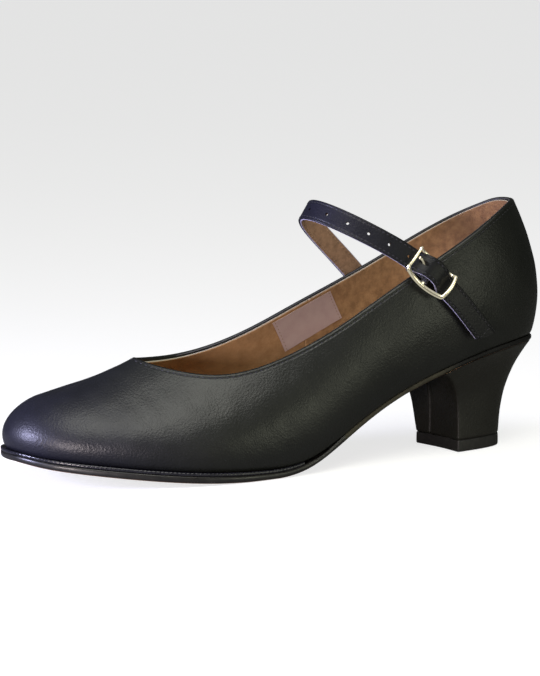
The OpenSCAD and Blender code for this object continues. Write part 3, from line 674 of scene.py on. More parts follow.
def both_sides(t):
    """Ring of columns: outer side to the toe, then inner side to the back."""
    return (np.concatenate([t, t[-2:0:-1]]),
            np.concatenate([np.ones(len(t)), -np.ones(len(t) - 2)]))


def column_rows(t, side, k_low, k_high, depths, even_rows):
    """k of each column, bottom row first: even rows, then rows at set depths below its top."""
    k = k_low[:, None] + (k_high - k_low)[:, None] * np.linspace(0, 1, 420)[None]
    points = surface(t[:, None], side[:, None], k)
    rows = []
    for c in range(len(t)):
        lengths = arc_lengths(points[c])
        total = lengths[-1]
        depth = np.array(depths) * min(1.0, total / (depths[-1] * 2.2))
        even = np.linspace(0, total - depth[-1], even_rows + 1)[:-1]
        rows.append(np.interp(np.concatenate([even, (total - depth)[::-1]]), lengths, k[c]))
    return np.array(rows)


def wall_frame(t, side, k):
    """Points and normals of the wall, with the normals steadied where they jitter."""
    points, normals = surface_frame(t[:, None], side[:, None], k)
    # on the ridge itself, reuse the row below
    on_ridge = (k[:, -1] > 0.9999)[:, None]
    normals[:, -1] = np.where(on_ridge, normals[:, -2], normals[:, -1])
    # average over the top of the toe, where the columns crowd together
    w = np.clip((t - 0.80) / 0.06, 0, 1)[:, None, None]
    m = normals.copy()
    for _ in range(12):
        q = m.copy()
        q[1:-1, 1:-1] = (m[1:-1, 1:-1] * 2 + m[2:, 1:-1] + m[:-2, 1:-1]
                         + m[1:-1, 2:] + m[1:-1, :-2]) / 6
        q[:, -1] = q[:, -2]
        m = unit(q)
    return points, unit(normals * (1 - w) + m * w)


def edge_rounding(depth, radius):
    """How far a rounded edge falls back at a depth below its top."""
    rest = radius - np.minimum(depth, radius)
    return radius - np.sqrt(np.clip(radius ** 2 - rest ** 2, 0, None))


def seam_y(points):
    """y of the centre back line at the height of the points."""
    line = surface(np.zeros(200), 1, np.linspace(0, 0.8, 200))
    return np.interp(points[..., 2], line[:, 2], line[:, 1])


def build_upper():
    t, side = both_sides(stations(BACK_COLUMNS, TOE_COLUMNS))
    columns = len(t)
    k = column_rows(t, side, k_at_height(t, 0.45), topline_k(t, side), FOLD_ROWS,
                    even_rows=44)
    points, normals = wall_frame(t, side, k)
    depth = topline_distance(points)
    open_top = t <= THROAT + 1e-9
    depth[:, -1] = np.where(open_top, 0, depth[:, -1])
    height = points[..., 2] - spline(FEATHER_Z, t)[:, None]

    fold = sum(h * bell(depth, d, w) for h, d, w in FOLD_RELIEF) * np.clip(depth / 0.5, 0, 1)
    fold = fold - edge_rounding(depth, ROLL)
    soft = 0.16 * smooth_noise(points, 26, seed=4) + 0.055 * smooth_noise(points, 9, seed=7)
    soft = soft * np.clip(depth / 8, 0, 1) * np.clip(height / 6, 0, 1)
    # the foot of the wall is pulled in towards the welt
    tuck = -0.45 * np.clip(1 - height / 1.6, 0, 1) ** 2
    # back seam: a shallow valley with a ridge on each side
    y = points[..., 1] - seam_y(points)
    seam = -0.34 * bell(y, 0, 0.35) + 0.07 * bell(np.abs(y), 0.95, 0.4)
    seam = seam * np.clip((0.12 - t) / 0.05, 0, 1)[:, None] * np.clip(height / 3, 0, 1)
    outer = points + normals * (fold + soft + tuck + seam)[..., None]

    # inner face: two layers thick at the fold, then the bare leather
    inset = -2 * ROLL + edge_rounding(depth, ROLL) + 0.7 * smoothstep((depth - 4.5) / 2.5)
    inner = points + normals * inset[..., None]
    inner[:, -1] = np.where(open_top[:, None], outer[:, -1], inner[:, -1])
    # the inner wall starts above the turned margin
    foot = UPPER_THICK + 0.3
    foot_k = np.maximum(k, k_at_height(t, foot)[:, None])
    foot_points, foot_normals = surface_frame(t[:, None], side[:, None], foot_k)
    inner = np.where((height < foot)[..., None], foot_points - foot_normals * UPPER_THICK, inner)

    def with_margin(wall, table):
        rows = []
        for distance, z in table:
            row = beside_feather(t, side, distance)
            row[:, 2] = feather_z(row[:, 0]) + z
            rows.append(row)
        return np.concatenate([np.stack(rows, 1), wall], 1)

    outer = with_margin(outer, MARGIN_OUTER)
    inner = with_margin(inner, MARGIN_INNER)
    rows = outer.shape[1]
    half = columns * rows
    faces = grid_faces(columns, rows, closed=True)
    faces += grid_faces(columns, rows, closed=True, start=half, flip=True)
    for c in range(columns):
        a, b = c * rows, (c + 1) % columns * rows
        faces.append((b, a, half + a, half + b))
    verts = np.concatenate([outer.reshape(-1, 3), inner.reshape(-1, 3)])
    ob = add_mesh("upper_leather", verts, faces, "shoe", "black_leather", [LEATHER], weld=0.003)
    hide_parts("upper")


build_upper()

# ------------------------------------------------------------------ lining
LINING_JOIN = 0.44       # t where the front and back lining sheets meet
LINING_DROP = 0.55       # raw edge below the topline
LINING_ROWS = [0, 0.06, 0.18, 0.38, 0.65, 1.0, 1.5, 2.2, 3.2, 4.6, 6.5]
LINING_THROAT = float(t_at(x_at(THROAT) + 0.85))


def build_lining(name, node, t_start, t_end, round_toe):
    """Suede sheet with a rounded top edge, running round the toe or round the back."""
    t = stations(BACK_COLUMNS - 20, TOE_COLUMNS - 20, LINING_THROAT)
    t = np.concatenate([[t_start], t[(t > t_start + 1e-4) & (t < t_end - 1e-4)], [t_end]])
    side = np.concatenate([np.ones(len(t)), -np.ones(len(t) - 1)])
    if round_toe:
        t = np.concatenate([t, t[-2::-1]])
    else:
        t = np.concatenate([t[::-1], t[1:]])
        side = -side[::1] if False else np.concatenate(
            [-np.ones((len(t) + 1) // 2), np.ones((len(t) - 1) // 2)])
    k_top = topline_k(t, side, LINING_THROAT, LINING_DROP)
    k = column_rows(t, side, k_at_height(t, SOCK_Z - 0.4), k_top, LINING_ROWS,
                    even_rows=30)
    points, normals = wall_frame(t, side, k)
    depth = np.maximum(topline_distance(points) - LINING_DROP, 0)
    open_top = t <= LINING_THROAT + 1e-9
    depth[:, -1] = np.where(open_top, 0, depth[:, -1])
    rounding = edge_rounding(depth, 0.4)
    wobble = 0.16 * smooth_noise(points, 18, seed=21) + 0.07 * smooth_noise(points, 7, seed=22)
    wobble = wobble * np.clip(depth / 4, 0, 1)
    outer = points - normals * (1.93 + rounding)[..., None]
    inner = points - normals * (2.75 - rounding - wobble)[..., None]
    inner[:, -1] = np.where(open_top[:, None], outer[:, -1], inner[:, -1])
    ob = add_mesh(name, *slab(outer, inner, rim_rows=[0]), "shoe", "tan_lining", [LINING],
                  weld=0.003)
    # mark the band of raw edge; distance from the topline also grows through the thickness
    coords = np.zeros(len(ob.data.vertices) * 3, np.float32)
    ob.data.vertices.foreach_get("co", coords)
    distance = topline_distance(coords.reshape(-1, 3).astype(float) * 1000)
    band = np.clip((2.78 - distance) / 0.3, 0, 1)
    attribute = ob.data.attributes.new("edge", "FLOAT", "POINT")
    attribute.data.foreach_set("value", band.astype(np.float32))
    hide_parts(node)


build_lining("vamp_lining_suede", "vamp_lining", LINING_JOIN + 0.00004, 1.0, round_toe=True)
build_lining("quarter_lining_suede", "quarter_lining", 0.0, LINING_JOIN, round_toe=False)


# ------------------------------------------------------------------ stitches of the upper
def build_topline_stitches():
    points, normals, along, up = even_topline(TOPLINE, TOPLINE_NORMALS, pitch=2.35)
    mesh = stitches(points - up * STITCH_DEPTH - normals * 0.20, unit(along + 0.10 * up),
                    normals, length=1.75, radius=0.21, lift=0.16)
    add_mesh("topline_stitches", *mesh, "shoe", "black_leather", [THREAD], weld=0)


def build_back_stitches():
    """A row on each side of the centre back seam."""
    parts = []
    search_t = np.linspace(0.0005, 0.09, 60)
    column_k = np.linspace(0, 0.9, 300)
    for side in (1, -1):
        column_z = surface(0.03, side, column_k)[:, 2]
        frames = []
        for z in np.arange(52.5, 100, 2.3):
            k = np.interp(z, column_z, column_k)
            row = surface(search_t, side, k)
            t = np.interp(0.98, np.abs(row[:, 1] - seam_y(row)), search_t)
            frames.append(surface_frame(t, side, k))
        points, normals = (np.array(a) for a in zip(*frames))
        parts.append(stitches(points + normals * 0.03, unit(np.gradient(points, axis=0)),
                              normals, length=1.7, radius=0.2, lift=0.14))
    add_mesh("back_seam_stitches", *join(parts), "shoe", "black_leather", [THREAD], weld=0)


build_topline_stitches()
build_back_stitches()


# ------------------------------------------------------------------ blank label
def label_frame(a, b):
    """Inner-side surface under the label: a along it towards the back, b from its foot to top."""
    t = (0.466 + (0.39 - 0.466) * a) * (1 - b) + (0.485 + (0.41 - 0.485) * a) * b
    return surface_frame(t, -1, topline_k(t, -1) * (0.60 + (0.955 - 0.60) * b))


def build_label():
    columns, rows = 36, 26
    a, b = np.meshgrid(np.linspace(0, 1, columns), np.linspace(0, 1, rows), indexing="ij")
    points, normals = label_frame(a, b)
    puff = 0.10 * np.sin(np.pi * a) * np.sin(np.pi * b) + 0.05 * smooth_noise(points, 8, seed=3)
    mesh = slab(points - normals * (2.95 + puff)[..., None], points - normals * 2.72,
                rim_rows=(0, rows - 1))
    ob = add_mesh("inner_label_blank", *mesh, "shoe", "label", [LABEL], sharp=50)
    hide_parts("size_label")
    # stitches along its two ends
    parts = []
    for a in (0.035, 0.965):
        points, normals = label_frame(a, np.linspace(0.05, 0.95, 9))
        parts.append(stitches(points - normals * 2.98, unit(np.gradient(points, axis=0)),
                              -normals, length=1.1, radius=0.13, lift=0.08))
    add_mesh("label_stitches", *join(parts), "shoe", "label", [TAN_THREAD], weld=0)


build_label()


# ------------------------------------------------------------------ sock
def sock_edge(t, side):
    """Edge of the sock, just inside the lining."""
    v = (SOCK_Z - 0.5) / (spline(RIDGE_Z, t) - spline(FEATHER_Z, t))
    bulge = by_side(BULGE_OUT, BULGE_IN, t, side) * BULGE_SCALE * v * (1 - v) ** 2 * 0.6
    inset = LINING_DEPTH + 1.2 * smoothstep((t - 0.8) / 0.2) + 0.15
    return beside_feather(t, side, bulge - inset)


def build_sock():
    t = np.concatenate([np.linspace(0, 0.02, 4)[:-1], np.linspace(0.02, 0.98, 110),
                        np.linspace(0.98, 1, 5)[1:]])
    rows = 25
    outer, inner = sock_edge(t, 1), sock_edge(t, -1)
    w = (1 - np.cos(np.linspace(0, np.pi, rows))) / 2
    top = outer[:, None, :] * (1 - w)[None, :, None] + inner[:, None, :] * w[None, :, None]
    bottom = top.copy()
    bottom[..., 2] = feather_z(top[..., 0]) + SOCK_Z + 0.02
    edge = np.minimum(w, 1 - w)[None, :] * np.linalg.norm(outer - inner, axis=1)[:, None]
    # a rounded rim and a slight cup towards the wall
    relief = -0.35 * bell(edge, 0, 0.5) + 0.33 * bell(edge, 0, 3.0)
    relief = relief + 0.12 * smooth_noise(top, 14, seed=11)
    top[..., 2] = feather_z(top[..., 0]) + SOCK_Z + 0.55 + relief
    mesh = slab(top, bottom, rim_rows=(0, rows - 1))
    ob = add_mesh("sock_lining_suede", *mesh, "shoe", "tan_lining", [SOCK], sharp=60)
    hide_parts("sock_lining")


build_sock()

# ------------------------------------------------------------------ welt
WELT_START_X = 90.0
NOTCH_PITCH = 1.75
# Section: 1 if measured from the sole's edge (0 from the feather line), distance out, height,
# then how far the notches drop and pull in that point.
WELT_SECTION = [
    (0, -8.5, -0.10, 0, 0), (0, -3.0, -0.10, 0, 0), (0, -1.0, -0.10, 0, 0),
    (0, -0.35, -0.12, 0, 0), (1, -0.62, 0.06, 0.20, 0), (1, -0.34, 0.10, 0.20, 0),
    (1, -0.10, -0.02, 0.11, 0.07), (1, 0.03, -0.22, 0.11, 0.07), (1, 0.08, -0.5, 0.11, 0.07),
    (1, 0.07, -0.82, 0, 0), (1, 0.0, -1.08, 0, 0), (1, -0.25, -1.19, 0, 0), (0, -8.5, -1.2, 0, 0)]


def build_welt():
    """Notched strip from WELT_START_X on the outer side, round the toe, to the inner side."""
    start_t = float(t_at(WELT_START_X))
    t = np.concatenate([np.linspace(start_t, 1, 1500), np.linspace(1, start_t, 1500)[1:]])
    side = np.concatenate([np.ones(1500), -np.ones(1499)])
    line = feather(t, side)
    lengths = arc_lengths(line)
    total = lengths[-1]
    at = np.linspace(0, total, int(total / (0.36)))

    def sampled(values):
        return np.stack([np.interp(at, lengths, v) for v in values.T], -1)

    points = sampled(line[:, :2])
    normals = sampled(feather_normal(t, side))
    for _ in range(6):
        normals[1:-1] = normals[1:-1] * 0.5 + 0.25 * (normals[2:] + normals[:-2])
    normals = unit(normals)
    fade = np.clip(np.minimum(at, total - at) / 12, 0, 1)
    reach = spline(SOLE_REACH, np.interp(at, lengths, t)) * (0.6 + 0.4 * fade)
    rng = np.random.RandomState(5)
    notch = (0.5 + 0.5 * np.cos(at / NOTCH_PITCH * 2 * np.pi)) ** 3 * fade
    notch = notch * np.interp(at, np.linspace(0, total, 60), 0.55 + 0.45 * rng.rand(60))
    rings = []
    for from_edge, distance, height, drop, pull in WELT_SECTION:
        place = points + normals * (reach * from_edge + distance - pull * notch)[:, None]
        z = feather_z(np.minimum(place[:, 0], 205)) + height - drop * notch
        rings.append(np.column_stack([place, z]))
    ob = add_mesh("welt_strip", *skin(np.stack(rings, 1)), "shoe", "black_welt", [WELT],
                  weld=0.001, sharp=70)
    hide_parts("welt")


build_welt()

# ------------------------------------------------------------------ outsole
# Rounded edge: distance past the sole's edge, share of the height from lower to upper face.
SOLE_SECTION = [(-0.9, 1.0), (-0.35, 0.97), (-0.08, 0.86), (0.02, 0.65), (0.02, 0.42),
                (-0.06, 0.22), (-0.22, 0.09), (-0.5, 0.02), (-0.9, 0.0), (-1.6, 0.0)]


def sole_bottom_z(x):
    return np.maximum(0, feather_z(x) - SOLE_THICK - spline(SOLE_EXTRA, t_at(x)))


def build_outsole():
    half = np.concatenate([np.linspace(0, 0.03, 6)[:-1], np.linspace(0.03, 0.97, 150),
                           np.linspace(0.97, 1, 6)[1:]])
    n = len(half)
    t, side = both_sides(half)
    columns = len(t)
    reach = spline(SOLE_REACH, t)
    section = []
    for distance, share in [(-2.5, 1.0)] + [(reach + d, share) for d, share in SOLE_SECTION]:
        p = beside_feather(t, side, distance)
        x = p[:, 0]
        # the front of the sole lies lower, under the welt
        top = feather_z(x) - 0.12 - 1.2 * smoothstep((x - 68) / 13)
        bottom = sole_bottom_z(x)
        p[:, 2] = bottom + (top - bottom) * share
        section.append(p)
    wall = np.stack(section, 1)
    rows = wall.shape[1]
    edge_mat, bottom_mat, waist_mat = 0, 1, 2
    verts = [wall.reshape(-1, 3)]
    faces = grid_faces(columns, rows, closed=True)
    face_mats = ([edge_mat] * (rows - 4) + [bottom_mat] * 3) * columns
    # lower and upper faces, spanned from side to side
    cap_rows = 13
    w = np.linspace(0, 1, cap_rows)[None, :, None]
    opposite = -np.arange(n) % columns
    for row, material in ((rows - 1, bottom_mat), (0, edge_mat)):
        cap = wall[:n, row][:, None] * (1 - w) + wall[opposite, row][:, None] * w
        if material == bottom_mat:
            cap[..., 2] = sole_bottom_z(cap[..., 0])
        start = sum(len(v) for v in verts)
        cap_faces = grid_faces(n, cap_rows, start=start)
        verts.append(cap.reshape(-1, 3))
        faces += cap_faces
        face_mats += [material] * len(cap_faces)
    ob = add_mesh("outsole_leather", np.concatenate(verts), faces, "shoe", "sole_leather",
                  [SOLE_EDGE, SOLE_BOTTOM, WAIST], weld=0.02, face_mats=face_mats, sharp=60)
    # the waist edge material carries the painted shadow round the seat
    for p in ob.data.polygons:
        if p.material_index == edge_mat and p.center.x < 0.070 and abs(p.normal.z) < 0.8:
            p.material_index = waist_mat
    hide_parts("outsole")


build_outsole()

# ------------------------------------------------------------------ heel
HEEL_T = float(t_at(21.5))                 # front of the heel at its top
LIFT_LENGTH, LIFT_WIDTH, LIFT_HEIGHT = 28.5, 28.5, 5.0
LIFT_SKEW = 1.5                            # sideways shift of the back of the lift
LIFT_TURN = math.radians(11.7)
LIFT_X, LIFT_Y = 12.6, -0.95               # middle of the lift's front edge
# top lift: distance outside the heel outline, height
LIFT_SECTION = [
    (-6, 0.0), (-2.0, 0.0), (-0.55, 0.0), (-0.28, 0.05), (-0.12, 0.16), (-0.02, 0.38),
    (0.02, 0.9), (0.04, 1.8), (0.03, 2.8), (0.02, 3.7), (0.0, 4.25), (-0.03, 4.6),
    (-0.12, 4.82), (-0.32, 4.95), (-0.7, 4.98), (-3, 4.98)]


def heel_ring(h, z_low):
    """Outline of the heel at level h, from the foot (0) to the top (1)."""
    even = np.linspace(0, 1, 421)
    s = 0.5 * (1 - np.cos(np.pi * even)) / 2 + 0.5 * even
    cosine, sine = np.cos(np.pi * s), np.sin(np.pi * s)
    top = beside_feather(HEEL_T * np.abs(1 - 2 * s), np.where(s < 0.5, 1.0, -1.0), 0.1)[:, :2]
    x = -LIFT_LENGTH * np.abs(sine) ** 0.82
    y = LIFT_WIDTH / 2 * np.sign(cosine) * np.abs(cosine) ** 0.72 + LIFT_SKEW * sine * sine
    turn_cos, turn_sin = math.cos(LIFT_TURN), math.sin(LIFT_TURN)
    foot = np.stack([LIFT_X + x * turn_cos - y * turn_sin,
                     LIFT_Y + x * turn_sin + y * turn_cos], -1)
    # the outer and inner front corners follow curves of their own
    outer, inner = np.clip(cosine, 0, 1) ** 3, np.clip(-cosine, 0, 1) ** 3
    straight = 0.18 - 0.13 * outer + 0.32 * inner
    flare = straight * h + (1 - straight) * h ** (2.6 + 2.4 * outer + 0.4 * inner)
    z_high = feather_z(top[:, 0]) - SOLE_THICK - 0.10
    round_back = np.column_stack([foot + (top - foot) * flare[:, None],
                                  z_low + (z_high - z_low) * h])
    # breast: the slightly hollow front face
    w = np.linspace(0, 1, 161)[1:-1, None]
    breast = round_back[-1] * (1 - w) + round_back[0] * w
    breast[:, 0] -= 0.9 * np.sin(np.pi * w[:, 0]) * (1 - 0.5 * h)
    ring = np.concatenate([round_back, breast])
    # even spacing, so that smoothing rounds the two breast corners by the same amount
    count = 560
    step = loop_lengths(ring)[-1] / count
    return smooth_loop(resample_loop(ring, count), max(2, int((0.75 / step) ** 2 * 2)))


def ring_normals(ring):
    """Outward horizontal normals of a ring."""
    along = unit(np.roll(ring, -1, 0) - np.roll(ring, 1, 0))
    normals = np.stack([along[:, 1], -along[:, 0]], -1)
    return normals * np.sign(((ring - ring.mean(0))[:, :2] * normals).sum(-1).mean())


def inset_ring(ring, scale, lift):
    inset = ring.copy()
    centre = ring[:, :2].mean(0)
    inset[:, :2] = centre + (ring[:, :2] - centre) * scale
    inset[:, 2] += lift
    return inset


def build_heel_cover():
    levels = np.concatenate([[0.0, 0.004, 0.011, 0.02, 0.032], np.linspace(0.05, 0.965, 44),
                             [0.975, 0.985, 0.993, 1.0]])
    rings = []
    for h in levels:
        ring = heel_ring(h, LIFT_HEIGHT + 0.06)
        normals = ring_normals(ring)
        # rounded at both ends, with the soft wobble of pulled leather between them
        relief = -0.42 * bell(h, 0, 0.012) - 0.30 * bell(h, 1, 0.010)
        wobble = 0.09 * smooth_noise(ring, 14, seed=31)
        relief = relief + wobble * min(1, h * 8) * min(1, (1 - h) * 8)
        # butt seam down the breast
        from_seam = ring[:, 1] - (-6.6 + 3.4 * h)
        seam = -0.5 * bell(from_seam, 0, 0.28) + 0.10 * bell(np.abs(from_seam), 0.95, 0.5)
        relief = relief + np.where(normals[:, 0] > 0.75, seam, 0)
        ring[:, :2] += normals * relief[:, None]
        rings.append(ring)
    foot, top = rings[0], rings[-1]
    rings = [inset_ring(foot, 0.93, 0.0)] + rings
    rings += [inset_ring(top, 0.965, 0.02), inset_ring(top, 0.90, 0.0)]
    ob = add_mesh("heel_cover_leather", *skin(np.array(rings)), "shoe", "black_leather",
                  [HEEL_LEATHER], weld=0, sharp=75)
    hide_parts("heel_cover")


def build_top_lift():
    outline = heel_ring(0.0, 0.0)
    outline[:, 2] = 0
    normals = ring_normals(outline)
    rings = []
    for distance, z in LIFT_SECTION:
        ring = outline.copy()
        ring[:, 2] = z
        if distance > -1:
            noise_at = outline + np.array([0, 0, z * 2])
            distance = distance + 0.05 * smooth_noise(noise_at, 9, seed=41)[:, None]
        ring[:, :2] += normals * distance
        rings.append(ring)
    ob = add_mesh("top_lift_rubber", *skin(np.array(rings)), "shoe", "lift_rubber", [RUBBER],
                  weld=0, sharp=60)
    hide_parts("top_lift")


build_heel_cover()
build_top_lift()

# ------------------------------------------------------------------ strap
# From the free end on the outer side, round the front, to the inner side.
# Columns: x, y, z, backward tilt in degrees, sideways lean.
STRAP_PATH = np.array([
    [2.3, 27.05, 51.1, 50, -0.05], [17.5, 29.3, 66.2, 47, -0.08], [30, 28, 78.3, 43, -0.1],
    [42.5, 25.8, 88, 38, -0.1], [56.3, 21, 96, 33, -0.05], [69, 12.5, 103, 32, 0],
    [74.5, -2, 105.5, 32, 0], [68, -15, 99.3, 33, 0], [53.8, -22, 87, 36, 0],
    [41.8, -25.6, 75.9, 40, 0.03], [34, -27.9, 68, 42, 0.03]])
STRAP_WIDTH = 9.0
STRAP_SLANT = 3.6                          # slant of the cut at the free end
GROOVE_AT = 0.735                          # stitch line, as a share of the half width
ARCH_REACH, ARCH_HEIGHT = 9.3, 4.3         # loop of the strap over the buckle's centre bar


def strap_base(u):
    return np.stack([spline(STRAP_PATH[:, i], u) for i in range(3)], -1)


def strap_across(u):
    tilt = np.radians(spline(STRAP_PATH[:, 3], u))
    return unit(np.stack([-np.sin(tilt), spline(STRAP_PATH[:, 4], u), np.cos(tilt)], -1))


def strap_out(u):
    step = strap_base(np.minimum(u + 0.004, 1)) - strap_base(np.maximum(u - 0.004, 0))
    return unit(np.cross(strap_across(u), unit(step)))


PATH_U = np.linspace(0, 1, 1101)
PATH_S = arc_lengths(strap_base(PATH_U))   # distance along the strap at each PATH_U
BAR_U = 0.2125
BAR_S = float(np.interp(BAR_U, PATH_U, PATH_S))
STRAP_LENGTH = float(PATH_S[-1])
HOLES = BAR_S + 1.95 + 9.5 * np.arange(1, 7)


def strap_point(s):
    """Middle of the strap at distance s: arched over the bar, with small sideways drifts."""
    s = np.asarray(s, float)
    u = np.interp(s, PATH_S, PATH_U)
    near = np.minimum(np.abs(s - BAR_S) / ARCH_REACH, 1)
    arch = np.where(near >= 1, 0, ARCH_HEIGHT * np.cos(np.pi / 2 * near ** 1.6) ** 2)
    drift = -1.5 * smoothstep(1 - s / 28) + 0.85 * np.cos(np.pi / 2 * near) ** 2
    return strap_base(u) + strap_out(u) * arch[..., None] + strap_across(u) * drift[..., None]


def strap_frame(s):
    """Point, forward, outward and across directions at distance s."""
    across = strap_across(np.interp(s, PATH_S, PATH_U))
    along = unit(strap_point(np.minimum(s + 0.15, STRAP_LENGTH))
                 - strap_point(np.maximum(s - 0.15, 0)))
    return strap_point(s), along, unit(np.cross(across, along)), across


# The buckle's own frame stands on the strap at its centre bar.
BUCKLE_ORIGIN = strap_base(BAR_U)
BUCKLE_ACROSS = strap_across(BAR_U)
BUCKLE_ALONG = unit(np.cross(strap_out(BAR_U), BUCKLE_ACROSS))
BUCKLE_OUT = unit(np.cross(BUCKLE_ACROSS, BUCKLE_ALONG))


def from_buckle(p):
    """Buckle coordinates (across, along, out) to shoe coordinates."""
    p = np.asarray(p, float)
    return (BUCKLE_ORIGIN + p[..., 0:1] * BUCKLE_ACROSS + p[..., 1:2] * BUCKLE_ALONG
            + p[..., 2:3] * BUCKLE_OUT)


def build_ribbon(name, width, low, high, slot, mats, groove, seed):
    """One layer of the strap between two heights, with rounded edges and stitch grooves."""
    s = np.arange(0, STRAP_LENGTH + 0.3, 0.55)
    s[-1] = STRAP_LENGTH
    points, along, out, across = strap_frame(s)
    middle, half_thick = (low + high) / 2, (high - low) / 2
    half_ys = [0.1, 0.3, 0.5, 0.62, 0.69, 0.73, 0.775, 0.84, 0.93, 1]
    ys = np.array([-y for y in half_ys[::-1]] + half_ys)
    to_edge = np.clip((1 - np.abs(ys)) / 0.09, 0, 1)
    top = half_thick * (0.35 + 0.65 * np.sqrt(1 - (1 - to_edge) ** 2))
    top = top - groove * bell(np.abs(ys), GROOVE_AT, 0.035)
    if groove:
        bottom = -top
    else:
        bottom = -half_thick * (0.4 + 0.6 * np.minimum(1, (1 - np.abs(ys)) / 0.08))
    section = list(zip(ys, top)) + list(zip(ys[::-1], bottom[::-1]))
    wobble = 0.03 * smooth_noise(points, 16, seed)
    spread = 1 + 0.006 * smooth_noise(points, 30, seed + 1)
    at_end = np.clip(1 - s / 9.0, 0, 1)
    rings = []
    for y, z in section:
        cut = -0.3 + STRAP_SLANT * (1 - y) / 2 + 0.9 * max(0, (abs(y) - 0.72) / 0.28) ** 2.2
        rings.append(points + across * (width / 2 * y * spread)[:, None]
                     + out * (middle + z + wobble)[:, None] + along * (at_end * cut)[:, None])
    # material 1 on the long edges and both ends
    m, n = len(section), len(ys)
    edge = (n - 1, m - 1) if groove else (n - 2, n - 1, n, 0, m - 2, m - 1)
    face_mats = [int(j in edge) for j in range(m)] * (len(s) - 1) + [1, 1]
    return add_mesh(name, *skin(np.stack(rings, 1)), "strap", slot, mats, weld=0,
                    face_mats=face_mats, sharp=50)


def hole_cutter(hole_radius, slot_start, slot_radius):
    """Pins for the holes and a rounded prism for the prong's slot."""
    bm = bmesh.new()
    for s in HOLES:
        p, along, out, across = strap_frame(s)
        pose = np.eye(4)
        pose[:3] = np.column_stack([across, along, out, p * MM])
        bmesh.ops.create_cone(bm, cap_ends=True, segments=24, radius1=hole_radius * MM,
                              radius2=hole_radius * MM, depth=0.006, matrix=Matrix(pose.tolist()))
    outline = []
    for y, sign in ((6.5, 1), (slot_start, -1)):
        for k in range(13):
            angle = math.pi * k / 12
            outline.append((0.75 + math.cos(angle) * sign * slot_radius,
                            y + math.sin(angle) * sign * slot_radius))
    low, high = [[bm.verts.new(Vector(from_buckle((x, y, z)) * MM)) for x, y in outline]
                 for z in (-1.0, 8.0)]
    bm.faces.new(low[::-1])
    bm.faces.new(high)
    for i in range(len(outline)):
        j = (i + 1) % len(outline)
        bm.faces.new((low[i], low[j], high[j], high[i]))
    bmesh.ops.recalc_face_normals(bm, faces=bm.faces)
    mesh = bpy.data.meshes.new("cut")
    bm.to_mesh(mesh)
    bm.free()
    ob = bpy.data.objects.new("cut", mesh)
    bpy.context.scene.collection.objects.link(ob)
    return ob


def cut_holes(ob, hole_radius, slot_start, slot_radius):
    cutter = hole_cutter(hole_radius, slot_start, slot_radius)
    modifier = ob.modifiers.new("holes", "BOOLEAN")
    modifier.operation = "DIFFERENCE"
    modifier.solver = "EXACT"
    modifier.object = cutter
    depsgraph = bpy.context.evaluated_depsgraph_get()
    mesh = bpy.data.meshes.new_from_object(ob.evaluated_get(depsgraph), depsgraph=depsgraph)
    ob.modifiers.clear()
    ob.data = mesh
    bpy.data.objects.remove(cutter)
    # sharp hole rims keep the flat faces flat
    bm = bmesh.new()
    bm.from_mesh(mesh)
    mark_sharp(bm, 48)
    bm.to_mesh(mesh)
    bm.free()


def build_strap():
    leather = build_ribbon("strap_leather", STRAP_WIDTH, 0.03, 0.95, "black_leather",
                           [STRAP_LEATHER, DYED_EDGE], groove=0.13, seed=61)
    cut_holes(leather, hole_radius=0.62, slot_start=4.3, slot_radius=0.85)
    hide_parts("strap")
    lining = build_ribbon("strap_lining_suede", STRAP_WIDTH - 0.05, -0.75, -0.01, "tan_lining",
                          [STRAP_LINING, RAW_EDGE], groove=0.0, seed=71)
    cut_holes(lining, hole_radius=0.66, slot_start=2.6, slot_radius=1.1)
    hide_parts("strap_lining")


def build_strap_stitches():
    front, back = [], []
    points, along, out, across = strap_frame(np.arange(4.6, STRAP_LENGTH - 1.5, 2.05))
    for side in (1, -1):
        line = points + across * (side * STRAP_WIDTH / 2 * GROOVE_AT)
        front.append(stitches(line + out * 0.85, unit(along + 0.08 * side * across), out,
                              length=1.5, radius=0.19, lift=0.13))
        back.append(stitches(line - out * 0.75, along, -out,
                             length=1.35, radius=0.16, lift=0.09))
    # cross rows, one at the free end and two at the other: place, half width, count, height
    for s, reach, count, height in ((3.6, 2.2, 3, 0.9), (STRAP_LENGTH - 1.4, 2.4, 4, 0.93),
                                    (STRAP_LENGTH - 9.5, 2.4, 4, 0.93)):
        point, _, out, across = strap_frame(s)
        row = point + across * np.linspace(-reach, reach, count)[:, None] + out * height
        front.append(stitches(row, np.tile(across, (count, 1)), np.tile(out, (count, 1)),
                              length=1.3, radius=0.19, lift=0.1))
    add_mesh("strap_stitches", *join(front), "strap", "black_leather", [THREAD], weld=0)
    add_mesh("strap_back_stitches", *join(back), "strap", "tan_lining", [TAN_THREAD], weld=0)


build_strap()
build_strap_stitches()

# ------------------------------------------------------------------ buckle
END_Z, BAR_Z = 2.7, 1.05                   # heights of the end bars and the centre bar
BUCKLE_HALF_WIDTH = 5.35
BUCKLE_HALF_LENGTH = 19.6 / 2
SWELL = 1.3                                # how far the near side bar bows out
# prong, from the bar to the tip: along, out
PRONG_PATH = np.array([[1.1, 1.55], [2.3, 1.45], [3.4, 1.6], [4.5, 2.1], [5.4, 2.8],
                       [6.2, 3.35], [7.0, 3.7], [7.7, 3.85], [8.3, 3.9]])
# collar of the prong on the bar: across, radius
PRONG_EYE = [(-1.15, 1.12), (-0.95, 1.3), (0, 1.36), (0.95, 1.3), (1.15, 1.12),
             (1.15, 0.75), (0, 0.75), (-1.15, 0.75)]


